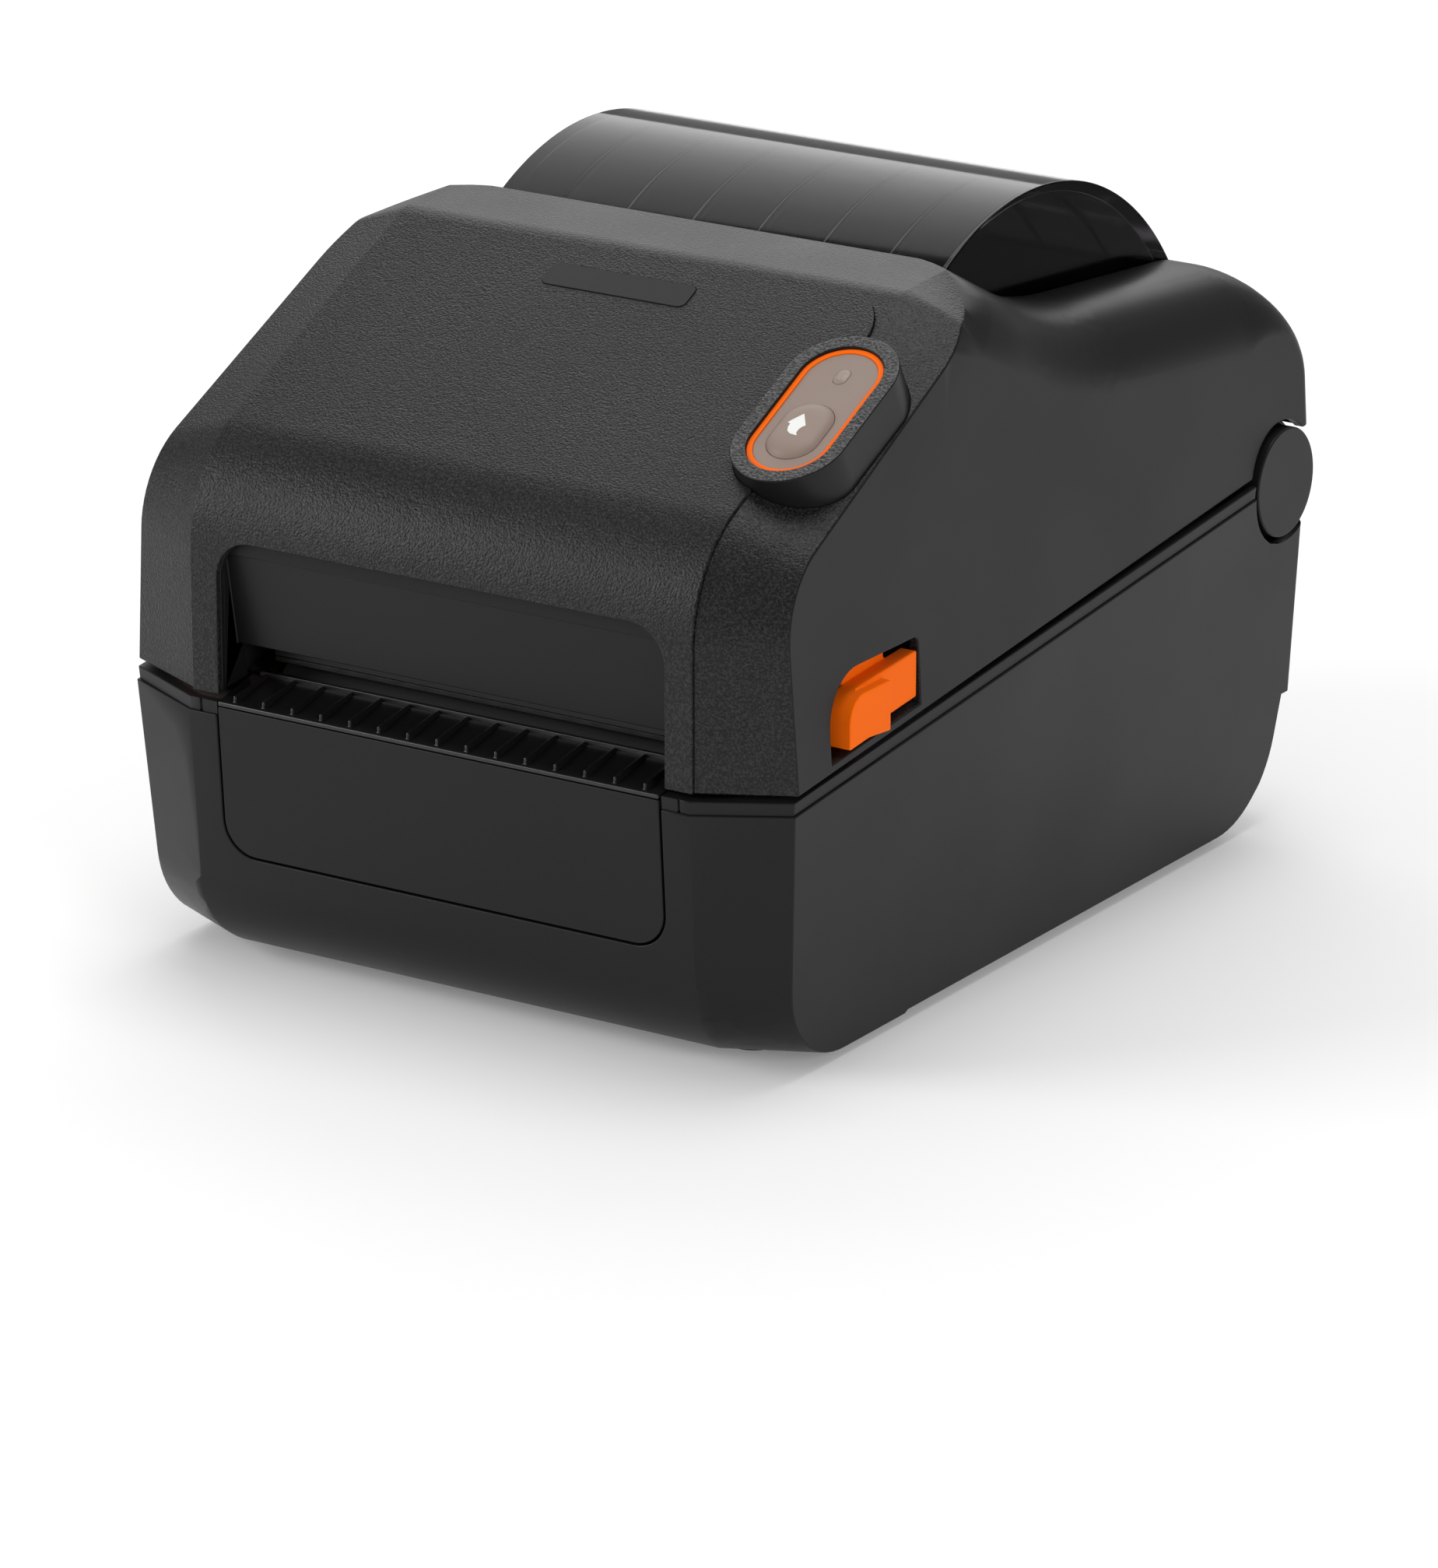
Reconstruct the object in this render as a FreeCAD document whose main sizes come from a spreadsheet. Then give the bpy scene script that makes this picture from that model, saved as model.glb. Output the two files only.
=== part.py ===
"""Desktop label printer with a direct thermal print head, as an assembly of separate pieces.

Millimetres. +X is the printer's right side, -Y its front, +Z up.
The origin is on the table, under the middle of the case.
"""
import FreeCAD, Part
import math
import os
import re
import Sketcher

Vector = FreeCAD.Vector

# Driving sizes, in millimetres. A rise is a plain ratio of height to length.
SIZES = {
    # Lower case
    "case_width": 175.0,
    "case_front": 116.5,
    "case_rear": 112.0,
    "front_flat": 132.2,
    "corner_depth": 8.9,
    "case_wall": 2.5,
    "side_draft": 0.06,
    "front_draft": 0.07,
    "rear_corner": 2.0,
    "bottom_height": 2.4,
    "pad_drop": 0.6,
    "pad_rear": -56.0,
    "toe_round": 22.0,
    "toe_bevel": 12.0,
    "heel_round": 24.0,
    "heel_front": 6.5,
    "heel_top": 31.0,
    "heel_step": 4.5,
    # Parting line between the case and the cover
    "parting_height": 66.5,
    "parting_rise": 0.107,
    "parting_gap": 1.2,
    "rim_height": 3.0,
    "rim_inset": 0.5,
    "deck_thickness": 2.0,
    "lip_width": 3.0,
    "nick_offset": 4.2,
    "nick_width": 0.4,
    "nick_depth": 0.7,
    # Front blanking panel and exit guide
    "panel_width": 116.6,
    "panel_bottom": 29.5,
    "panel_round": 8.0,
    "panel_seam": 0.5,
    "guide_front_height": 65.4,
    "guide_rear": -103.4,
    "guide_rear_height": 68.4,
    "guide_thickness": 2.2,
    "guide_lip": 1.0,
    "guide_rib_count": 15,
    "guide_rib_margin": 4.05,
    "guide_rib_width": 0.8,
    "guide_rib_rise": 1.7,
    "tear_bar_width": 112.0,
    "tear_bar_thickness": 1.2,
    "tear_bar_rise": 1.0,
    # Hood of the cover
    "hood_front": 115.0,
    "slope_start": 117.6,
    "slope_rise": 0.489,
    "nose_radius": 30.0,
    "hood_knee": -31.0,
    "knee_radius": 12.0,
    "top_rise": 0.059,
    "hood_rear": -8.5,
    "hood_corner": 33.0,
    "band_depth": 8.3,
    "cover_wall": 2.5,
    "cover_draft": 0.06,
    "cover_flare": 0.004,
    "panel_proud": 0.6,
    "panel_thickness": 1.6,
    "panel_far": -33.4,
    "panel_corner": 13.0,
    # Rear of the cover
    "crest_drop": 3.3,
    "shelf_height": 143.0,
    "shelf_front": 17.5,
    "shelf_fall": 0.09,
    "shelf_blend": 100.0,
    "rear_face": 116.5,
    "rear_arc": 30.0,
    "cover_rear_edge": 95.0,
    "shoulder_radius": 20.0,
    "rear_edge_radius": 3.0,
    # Media window
    "window_width": 120.0,
    "window_radius": 75.6,
    "window_y": 34.7,
    "window_z": 90.3,
    "window_wall": 2.5,
    "window_rib_count": 6,
    "window_rib_pitch": 17.5,
    "window_rib_width": 1.8,
    "window_rib_rise": 1.0,
    # Label opening and the wall behind it
    "opening_width": 118.0,
    "opening_top": 102.5,
    "opening_round": 9.0,
    "visor_top_y": -111.0,
    "visor_top_z": 98.5,
    "visor_foot_y": -107.2,
    "visor_foot_z": 76.5,
    "visor_thickness": 2.0,
    # Control pod, measured along and square to the sloping panel
    "pod_inset": 18.2,
    "pod_y": -70.3,
    "pod_length": 21.4,
    "pod_radius": 13.5,
    "pod_proud": 3.3,
    "pod_depth": 12.0,
    "pod_wall": 2.0,
    "pod_floor": 2.0,
    "ring_radius": 9.9,
    "ring_width": 1.3,
    "ring_sink": 0.7,
    "keypad_sink": 1.0,
    "keypad_thickness": 2.9,
    "button_offset": -6.8,
    "button_length": 5.7,
    "button_radius": 5.9,
    "button_proud": 1.0,
    "button_depth": 1.2,
    "button_travel": 1.2,
    "lens_offset": 11.7,
    "lens_radius": 1.6,
    "lens_proud": 0.5,
    "board_thickness": 1.6,
    "switch_size": 6.0,
    "switch_height": 1.8,
    # Badge plate
    "badge_width": 38.0,
    "badge_height": 7.2,
    "badge_y": -43.4,
    "badge_proud": 0.2,
    "badge_depth": 0.6,
    "badge_round": 1.8,
    # Cover hinge
    "hinge_y": 102.9,
    "hinge_z": 84.4,
    "hinge_cap_radius": 13.0,
    "hinge_cap_proud": 0.5,
    "hinge_flange_width": 1.5,
    "hinge_gap": 1.5,
    "hinge_pin_radius": 3.0,
    "hinge_boss_radius": 5.6,
    "hinge_ear_inset": 10.5,
    "hinge_ear_width": 4.0,
    "hinge_arm_width": 5.0,
    "hinge_side_gap": 0.5,
    "hinge_arm_reach": 26.0,
    "hinge_notch_depth": 14.6,
    # Latch levers and their shaft
    "latch_y": -72.0,
    "latch_z": 100.0,
    "latch_shaft_radius": 3.0,
    "latch_hub_radius": 6.0,
    "latch_inner_inset": 14.8,
    "latch_arm_width": 3.6,
    "latch_outer_inset": 5.2,
    "latch_side_gap": 0.8,
    "latch_bite": 2.4,
    "latch_nose": 5.0,
    "latch_stem": 7.0,
    "latch_front": -88.0,
    "latch_grip_rear": -71.6,
    "latch_rear": -57.0,
    "latch_grip_top": 84.6,
    "latch_grip_bottom": 74.5,
    "latch_grip_heel": 73.1,
    "latch_plate_top": 86.8,
    "latch_plate_lift": 3.6,
    "latch_plate_front": -87.0,
    "latch_plate_fall": 2.3,
    "latch_plate_round": 7.0,
    "latch_grip_proud": 2.5,
    "latch_grip_round": 6.0,
    "pocket_front": -92.5,
    "pocket_rear": -56.4,
    "pocket_top": 89.8,
    "pocket_round": 12.0,
    "pocket_strip": 1.9,
    # Platen and its drive
    "platen_y": -92.0,
    "platen_z": 62.5,
    "platen_radius": 8.0,
    "platen_length": 108.0,
    "platen_shaft_radius": 4.0,
    "platen_right_end": 66.0,
    "bush_radius": 5.6,
    "bush_width": 5.0,
    "bush_x": 57.0,
    "gear_module": 1.0,
    "gear_addendum": 0.8,
    "gear_pressure": 20.0,
    "rack_root": 1.2,
    "rack_lead": 1.5,
    "gear_width": 6.0,
    "gear_x": -72.0,
    "platen_teeth": 24,
    "idler_teeth": 36,
    "pinion_teeth": 14,
    "mesh_slack": 0.25,
    "idler_angle": -50.0,
    "motor_angle": -10.0,
    "idler_post_radius": 3.0,
    "motor_shaft_radius": 2.5,
    "motor_size": 35.0,
    "motor_depth": 30.0,
    "motor_corner": 5.0,
    "bracket_thickness": 1.5,
    "bracket_top": 55.0,
    "bracket_front": -88.0,
    "bracket_rear": -28.0,
    # Print head
    "head_width": 110.0,
    "head_front": -99.0,
    "head_rear": -70.0,
    "head_strip_depth": 14.0,
    "head_strip_thickness": 1.2,
    "paper_gap": 0.3,
    "sink_thickness": 6.0,
    "carrier_thickness": 2.0,
    "carrier_width": 116.0,
    "carrier_rear": -67.0,
    "pivot_y": -70.0,
    "pivot_z": 85.0,
    "pivot_radius": 2.0,
    "mount_inset": 15.5,
    "mount_front": -98.0,
    "mount_rear": -62.0,
    "mount_top": 108.0,
    "mount_sheet": 2.0,
    "cheek_bottom": 79.0,
    "cheek_front": -80.0,
    "spring_radius": 4.0,
    "spring_wire": 0.8,
    "spring_x": 35.0,
    "spring_y": -90.0,
    "post_radius": 4.0,
    "post_x": 58.0,
    # Media well and guides
    "well_radius": 68.0,
    "well_width": 124.0,
    "well_wall": 2.0,
    "guide_y": -52.0,
    "rack_z": 60.0,
    "rack_height": 5.0,
    "rack_depth": 5.0,
    "rack_teeth": 19,
    "rack_length": 66.0,
    "guide_pinion_teeth": 16,
    "guide_inner": 58.0,
    "guide_sheet": 3.0,
    "guide_disc": 40.0,
    "guide_hub": 12.0,
    "guide_hub_length": 5.0,
    "arm_height": 10.0,
    "guide_travel": 46.0,
    "tray_thickness": 2.0,
    # Boards, sockets and switch at the back
    "main_board_width": 110.0,
    "main_board_front": -20.0,
    "main_board_rear": 78.0,
    "boss_height": 3.5,
    "boss_radius": 3.0,
    "input_board_y": 97.5,
    "input_board_half": 50.0,
    "input_board_bottom": 30.0,
    "input_board_top": 56.0,
    "socket_z": 43.0,
    "usb_x": 12.0,
    "usb_width": 12.0,
    "usb_height": 11.0,
    "usb_mouth_width": 8.6,
    "usb_mouth_height": 7.8,
    "usb_mouth_depth": 9.0,
    "jack_x": 32.0,
    "jack_width": 9.0,
    "jack_height": 11.0,
    "jack_bore": 3.1,
    "jack_pin": 1.0,
    "jack_mouth_depth": 9.0,
    "switch_x": -30.0,
    "rocker_length": 16.0,
    "rocker_width": 11.0,
    "rocker_thickness": 6.4,
    "rocker_dip": 1.8,
    "rocker_tilt": 7.0,
    "rocker_pin": 1.2,
    "rocker_gap": 0.9,
    "switch_wall": 1.5,
    "switch_flange": 2.0,
    "switch_depth": 9.0,
    # Feet and screws
    "foot_radius": 7.0,
    "foot_height": 4.0,
    "foot_inset": 25.5,
    "foot_front": -84.0,
    "foot_rear": 66.0,
    "screw_inset": 15.5,
    "screw_front": -30.0,
    "screw_rear": 60.0,
    "screw_head_radius": 3.0,
    "screw_head_height": 1.4,
    "screw_radius": 1.5,
    "screw_length": 14.0,
    "column_radius": 4.5,
    # Gap sensor
    "sensor_width": 12.0,
    "sensor_depth": 8.0,
    "sensor_height": 5.0,
    "sensor_y": -76.0,
    # Fits
    "running_fit": 0.05,
    "seat_fit": 0.2,
    "slide_fit": 0.3,
}

doc = FreeCAD.newDocument("label_printer")
sheet = doc.addObject("Spreadsheet::Sheet", "Sizes")
for row, (size_name, size) in enumerate(SIZES.items(), start=1):
    sheet.set("A%d" % row, str(size))
    sheet.setAlias("A%d" % row, size_name)
doc.recompute()

WORD = re.compile(r"[a-z][a-z_0-9]*")
FAR = 200.0
PLANES = {
    "YZ": (Vector(0, 1, 0), Vector(0, 0, 1), Vector(1, 0, 0)),
    "XZ": (Vector(1, 0, 0), Vector(0, 0, 1), Vector(0, 1, 0)),
    "XY": (Vector(1, 0, 0), Vector(0, 1, 0), Vector(0, 0, 1)),
}
pieces = {}


def value(expression):
    """The number that an expression over the sheet's sizes stands for."""
    return float(sheet.evalExpression(str(expression)))


def bind(item, prop, expression):
    """Bind one property of an object to an expression over the sheet's sizes."""
    text = str(expression)
    bound = WORD.sub(lambda hit: "Sizes." + hit.group(0) if hit.group(0) in SIZES else hit.group(0), text)
    item.setExpression(prop, bound)


def add(kind, name):
    """A new document object with a name of its own."""
    return doc.addObject(kind, name)


def place(item, x, y, z, rotation=None):
    """Put an object at a point given by three expressions."""
    turn = rotation or FreeCAD.Rotation()
    item.Placement = FreeCAD.Placement(Vector(value(x), value(y), value(z)), turn)
    for axis, expression in zip("xyz", (x, y, z)):
        bind(item, "Placement.Base." + axis, expression)


def block(name, low, high):
    """A box between two corners."""
    box = add("Part::Box", name)
    place(box, *low)
    for prop, start, end in zip(("Length", "Width", "Height"), low, high):
        bind(box, prop, "(%s) - (%s)" % (end, start))
    return box


def rod(name, axis, start, length, radius):
    """A cylinder from a start point along the X, Y or Z axis."""
    turns = {
        "X": FreeCAD.Rotation(Vector(0, 1, 0), 90),
        "Y": FreeCAD.Rotation(Vector(1, 0, 0), -90),
        "Z": FreeCAD.Rotation(),
    }
    cylinder = add("Part::Cylinder", name)
    place(cylinder, *start, rotation=turns[axis])
    bind(cylinder, "Radius", radius)
    bind(cylinder, "Height", length)
    return cylinder


def cut(name, base, *tools):
    """A solid with other solids taken away from it."""
    tool = tools[0] if len(tools) == 1 else fuse(name + "_tools", *tools)
    result = add("Part::Cut", name)
    result.Base = base
    result.Tool = tool
    return result


def fuse(name, *parts):
    """Several solids joined into one."""
    result = add("Part::MultiFuse", name)
    result.Shapes = list(parts)
    return result


def common(name, *parts):
    """What several solids share."""
    result = add("Part::MultiCommon", name)
    result.Shapes = list(parts)
    return result


def mirrored(name, source):
    """The left-hand twin of a right-hand solid."""
    result = add("Part::Mirroring", name)
    result.Source = source
    result.Normal = Vector(1, 0, 0)
    return result


def group(name, *parts):
    """Separate solids that share one node."""
    result = add("Part::Compound", name)
    result.Links = list(parts)
    return result


def keep(node, item):
    """Name a finished sub-part after its node."""
    item.Label = node
    pieces[node] = item
    return item


def corner_arc(before, corner, after, radius):
    """Centre and tangent points of an arc that rounds one corner."""
    back = (before - corner).normalize()
    ahead = (after - corner).normalize()
    half = back.getAngle(ahead) / 2
    reach = radius / math.tan(half)
    bisector = (back + ahead).normalize()
    return corner + bisector * (radius / math.sin(half)), corner + back * reach, corner + ahead * reach


def add_arc(sketch, centre, first, last):
    """Add an arc from its first to its last point, and say which end is the first one."""
    turn = (first - centre).cross(last - centre).z
    start, end = (first, last) if turn > 0 else (last, first)
    angles = [math.atan2(point.y - centre.y, point.x - centre.x) for point in (start, end)]
    circle = Part.Circle(centre, Vector(0, 0, 1), (first - centre).Length)
    arc = sketch.addGeometry(Part.ArcOfCircle(circle, angles[0], angles[1]), False)
    return arc, (1, 2) if turn > 0 else (2, 1)


def datum(sketch, name, constraint, expression):
    """Add a constraint whose value follows an expression."""
    index = sketch.addConstraint(constraint)
    sketch.renameConstraint(index, name)
    bind(sketch, "Constraints." + name, expression)


def pin_point(sketch, name, element, end, u, v):
    """Hold one point of a sketch at two expressions."""
    spec = Sketcher.Constraint
    datum(sketch, name + "_u", spec("DistanceX", -1, 1, element, end, value(u)), u)
    datum(sketch, name + "_v", spec("DistanceY", -1, 1, element, end, value(v)), v)


def outline(name, plane, at, corners):
    """A closed sketch of straight runs; a corner with a third entry is rounded to that radius."""
    across, up, normal = PLANES[plane]
    sketch = add("Sketcher::SketchObject", name)
    turn = FreeCAD.Rotation(across, up, across.cross(up), "XYZ")
    base = ["0", "0", "0"]
    base["XYZ".index("X" if plane == "YZ" else "Y" if plane == "XZ" else "Z")] = at
    place(sketch, *base, rotation=turn)
    points = [Vector(value(corner[0]), value(corner[1]), 0) for corner in corners]
    count = len(points)
    rounds = {}
    for index, corner in enumerate(corners):
        if len(corner) == 3:
            ring = (points[index - 1], points[index], points[(index + 1) % count])
            rounds[index] = corner_arc(*ring, value(corner[2]))
    lines = []
    for index in range(count):
        after = (index + 1) % count
        start = rounds[index][2] if index in rounds else points[index]
        end = rounds[after][1] if after in rounds else points[after]
        lines.append(sketch.addGeometry(Part.LineSegment(start, end), False))
    spec = Sketcher.Constraint
    for index, corner in enumerate(corners):
        into, out = lines[index - 1], lines[index]
        label = "corner%d" % index
        if index not in rounds:
            sketch.addConstraint(spec("Coincident", into, 2, out, 1))
            pin_point(sketch, label, out, 1, corner[0], corner[1])
            continue
        mark = sketch.addGeometry(Part.Point(points[index]), True)
        pin_point(sketch, label, mark, 1, corner[0], corner[1])
        sketch.addConstraint(spec("PointOnObject", mark, 1, into))
        sketch.addConstraint(spec("PointOnObject", mark, 1, out))
        arc, ends = add_arc(sketch, *rounds[index])
        sketch.addConstraint(spec("Tangent", into, 2, arc, ends[0]))
        sketch.addConstraint(spec("Tangent", out, 1, arc, ends[1]))
        datum(sketch, label + "_round", spec("Radius", arc, value(corner[2])), corner[2])
    return sketch


def extrude(name, profile, direction, length):
    """A solid swept straight from a profile."""
    solid = add("Part::Extrusion", name)
    solid.Base = profile
    solid.DirMode = "Custom"
    solid.Dir = direction
    solid.Solid = True
    bind(solid, "LengthFwd", length)
    return solid


def prism(name, plane, start, end, corners):
    """A solid between two parallel planes with a flat outline."""
    profile = outline(name + "_outline", plane, start, corners)
    return extrude(name, profile, PLANES[plane][2], "(%s) - (%s)" % (end, start))


def loft(name, *sections):
    """A ruled solid through several profiles."""
    solid = add("Part::Loft", name)
    solid.Sections = list(sections)
    solid.Solid = True
    solid.Ruled = True
    return solid


def rounded(name, base, radii, kind="Part::Fillet"):
    """A solid with edges rounded or bevelled; radii gives an edge's two sizes, or nothing."""
    doc.recompute()
    edges = []
    for number, edge in enumerate(base.Shape.Edges, start=1):
        ends = radii(edge)
        if ends:
            edges.append((number, ends[0], ends[1]))
    result = add(kind, name)
    result.Base = base
    result.Edges = edges
    return result


def middle(edge):
    """The point half way along an edge."""
    return edge.valueAt((edge.FirstParameter + edge.LastParameter) / 2)


def parting(y, lift="0"):
    """Height of the parting plane at a place along Y, with a lift."""
    return "(parting_height + parting_rise * ((%s) + hood_front) + (%s))" % (y, lift)


def above_parting(name, lift):
    """Everything above a plane parallel to the parting plane."""
    corners = [(-FAR, parting(-FAR, lift)), (FAR, parting(FAR, lift)), (FAR, 2 * FAR), (-FAR, 2 * FAR)]
    return prism(name, "YZ", -FAR, FAR, corners)


def below_parting(name, lift):
    """Everything below a plane parallel to the parting plane."""
    corners = [(-FAR, parting(-FAR, lift)), (-FAR, -FAR), (FAR, -FAR), (FAR, parting(FAR, lift))]
    return prism(name, "YZ", -FAR, FAR, corners)


# Places across the printer, from its middle
HINGE_EAR = "(case_width / 2 - hinge_ear_inset)"
HINGE_OUTER = "(%s + hinge_ear_width)" % HINGE_EAR
LATCH_INNER = "(case_width / 2 - latch_inner_inset)"
LATCH_OUTER = "(case_width / 2 - latch_outer_inset)"
POD_X = "(case_width / 2 - pod_inset)"
FOOT_X = "(case_width / 2 - foot_inset)"
SCREW_X = "(case_width / 2 - screw_inset)"
MOUNT_HALF = "(case_width / 2 - mount_inset)"
MOUNT_WIDTH = "(case_width - 2 * mount_inset)"
RIB_PITCH = "((panel_width - 2 * guide_rib_margin) / (guide_rib_count - 1))"

# Heights from the parting plane, and slopes
RIM_TOP = "-parting_gap"
RIM_FOOT = "-parting_gap - rim_height"
DECK_TOP = "-parting_gap - rim_height + deck_thickness"
FLOOR_TOP = "bottom_height + case_wall"
SLOPE_COS = "(1 / sqrt(1 + slope_rise ^ 2))"
SLOPE_SIN = "(slope_rise / sqrt(1 + slope_rise ^ 2))"


def slope(y):
    """Height of the sloping hood panel at a place along Y."""
    return "(slope_start + slope_rise * ((%s) + hood_front))" % y


def hood_top(y):
    """Height of the nearly flat top of the hood at a place along Y."""
    return "(%s + top_rise * ((%s) - hood_knee))" % (slope("hood_knee"), y)


def side(z, y="-hood_front"):
    """Half width of the cover at a height and a place along Y."""
    lean = "cover_draft * ((%s) - parting_height)" % z
    return "(case_width / 2 - %s + cover_flare * ((%s) + hood_front))" % (lean, y)


def case_half(z):
    """Half width of the lower case at a height."""
    return "(case_width / 2 + side_draft * ((%s) - parting_height))" % z


def case_section(name, z, gap):
    """Plan outline of the lower case at a height, moved inwards by a gap."""
    front = "(-case_front + front_draft * (parting_height - (%s)) + %s)" % (z, gap)
    shoulder = "(%s + corner_depth)" % front
    rear = "(case_rear - %s)" % gap
    flank = "(%s - %s)" % (case_half(z), gap)
    return outline(name, "XY", z, [
        ("-front_flat / 2", front),
        ("front_flat / 2", front),
        (flank, shoulder),
        (flank, rear, "rear_corner"),
        ("-" + flank, rear, "rear_corner"),
        ("-" + flank, shoulder),
    ])


def toe_sizes(size):
    """One size for the bottom edges at the front and its two corners, for no other edge."""
    def sizes(edge):
        ends = [vertex.Point for vertex in edge.Vertexes]
        flat = abs(ends[0].z - ends[-1].z) < value("running_fit")
        low = ends[0].z < value(FLOOR_TOP + " + running_fit")
        ahead = middle(edge).y < value("2 * corner_depth - case_front")
        return (value(size), value(size)) if flat and low and ahead else None

    return sizes


def case_form(tag, gap, floor):
    """Form of the lower case, moved inwards by a gap, down to the floor's side profile."""
    low = case_section(tag + "_low", "0", gap)
    high = case_section(tag + "_high", parting("case_rear"), gap)
    top = "2 * parting_height"
    flank = [("-2 * case_front", top)] + floor + [("case_rear - %s" % gap, top)]
    return common(tag, loft(tag + "_walls", low, high), prism(tag + "_flank", "YZ", -FAR, FAR, flank))


HEEL = "(case_rear - heel_step)"


def lower_case_forms():
    """Outer form of the lower case and the hollow inside it."""
    outer = case_form("outer_block", "0", [
        ("-2 * case_front", "bottom_height - pad_drop"),
        ("pad_rear", "bottom_height - pad_drop"),
        ("pad_rear + 2 * pad_drop", "bottom_height"),
        (HEEL + " - heel_front", "bottom_height", "heel_round"),
        (HEEL, "heel_top"),
        ("case_rear", "heel_top"),
    ])
    hollow = case_form("hollow_block", "case_wall", [
        ("-2 * case_front", FLOOR_TOP),
        (HEEL + " - heel_front - case_wall", FLOOR_TOP, "heel_round - case_wall"),
        (HEEL + " - case_wall", "heel_top"),
        ("case_rear - case_wall", "heel_top + case_wall"),
    ])
    soft = rounded("case_outer", outer, toe_sizes("toe_round"))
    return soft, rounded("case_hollow", hollow, toe_sizes("toe_bevel"), "Part::Chamfer")


SLOPE_SEC = "sqrt(1 + slope_rise ^ 2)"
TOP_SEC = "sqrt(1 + top_rise ^ 2)"
KNEE_SHIFT = "((%s - %s) / (slope_rise - top_rise))" % (SLOPE_SEC, TOP_SEC)
HOOD_FOOT = "(parting_height - case_front / 2)"
CREST = "(%s - crest_drop)" % hood_top("hood_rear")
REAR_DROP = "((%s - shelf_height) / (shelf_front - hood_rear))" % CREST
REAR_SEC = "sqrt(1 + %s ^ 2)" % REAR_DROP
SHELF_SEC = "sqrt(1 + shelf_fall ^ 2)"


def hood_profile(name, x, gap):
    """Side profile of the hood, moved inwards from the panel's face by a gap."""
    front = "(-hood_front + %s)" % gap
    knee = "(hood_knee + %s * %s)" % (gap, KNEE_SHIFT)
    rear = "(hood_rear - %s)" % gap
    return outline(name, "YZ", x, [
        (front, HOOD_FOOT),
        (rear, HOOD_FOOT),
        (rear, "%s - %s * %s" % (hood_top(rear), gap, TOP_SEC)),
        (knee, "%s - %s * %s" % (slope(knee), gap, SLOPE_SEC), "knee_radius - %s" % gap),
        (front, "%s - %s * %s" % (slope(front), gap, SLOPE_SEC), "nose_radius - %s" % gap),
    ])


def shelf(y):
    """Height of the gently falling shelf behind the hood at a place along Y."""
    return "(shelf_height - shelf_fall * ((%s) - shelf_front))" % y


def rear_profile(gap):
    """Side profile of the shoulders behind the hood, moved inwards by a gap."""
    front = "hood_rear - hood_corner - nose_radius"
    face = "(rear_face - %s)" % gap
    bend = "(shelf_front - %s * (%s - %s) / (%s - shelf_fall))" % (gap, REAR_SEC, SHELF_SEC, REAR_DROP)
    sink = "%s * %s" % (gap, SHELF_SEC)
    return [
        (front, HOOD_FOOT),
        (face, HOOD_FOOT),
        (face, "%s - %s" % (shelf(face), sink), "rear_arc - %s" % gap),
        (bend, "%s - %s" % (shelf(bend), sink), "shelf_blend + %s" % gap),
        ("hood_rear", "%s - %s * %s" % (CREST, gap, REAR_SEC)),
        (front, "shelf_height - nose_radius"),
    ]


def tapered(name, gap):
    """The space between the leaning side walls of the cover, moved inwards by a gap."""
    top = "2 * shelf_height"
    foot = "(%s - %s)" % (side(HOOD_FOOT, -FAR), gap)
    head = "(%s - %s)" % (side(top, -FAR), gap)
    profile = outline(name + "_outline", "XZ", -FAR, [
        (foot, HOOD_FOOT),
        (head, top),
        (-FAR, top),
        (-FAR, HOOD_FOOT),
    ])
    right = extrude(name + "_right", profile, Vector(value("cover_flare"), 1, 0), 2 * FAR)
    return common(name, right, mirrored(name + "_left", right))


def shoulder_radii(gap):
    """Rounding of the shoulder block's edges: full along the shelf, fading down the rear corners."""
    full = value("shoulder_radius - %s" % gap)
    small = value("rear_edge_radius - %s" % gap)

    def radii(edge):
        point = middle(edge)
        low, high = sorted((edge.Vertexes[0].Point.z, edge.Vertexes[-1].Point.z))
        if abs(point.x) < value("front_flat / 2") or point.y < value("hood_rear"):
            return None
        if high < value("shelf_height - rear_arc + 1"):
            upright = abs(edge.Vertexes[0].Point.y - edge.Vertexes[-1].Point.y) < 1
            return (small, small) if upright else None
        if point.y > value("rear_face - rear_arc") and high - low > value("rear_arc") / 2:
            return (small, full) if edge.Vertexes[0].Point.z < edge.Vertexes[-1].Point.z else (full, small)
        return (full, full)

    return radii


def hood_plan(name, z, gap):
    """Plan of the hood's rounded rear corners at a height, tangent to the leaning walls."""
    half = "(%s - %s)" % (side(z, "hood_rear - hood_corner"), gap)
    rear = "hood_rear - %s" % gap
    corner = "hood_corner - %s" % gap
    return outline(name, "XY", z, [
        ("-" + half, -FAR),
        (half, -FAR),
        (half, rear, corner),
        ("-" + half, rear, corner),
    ])


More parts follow.
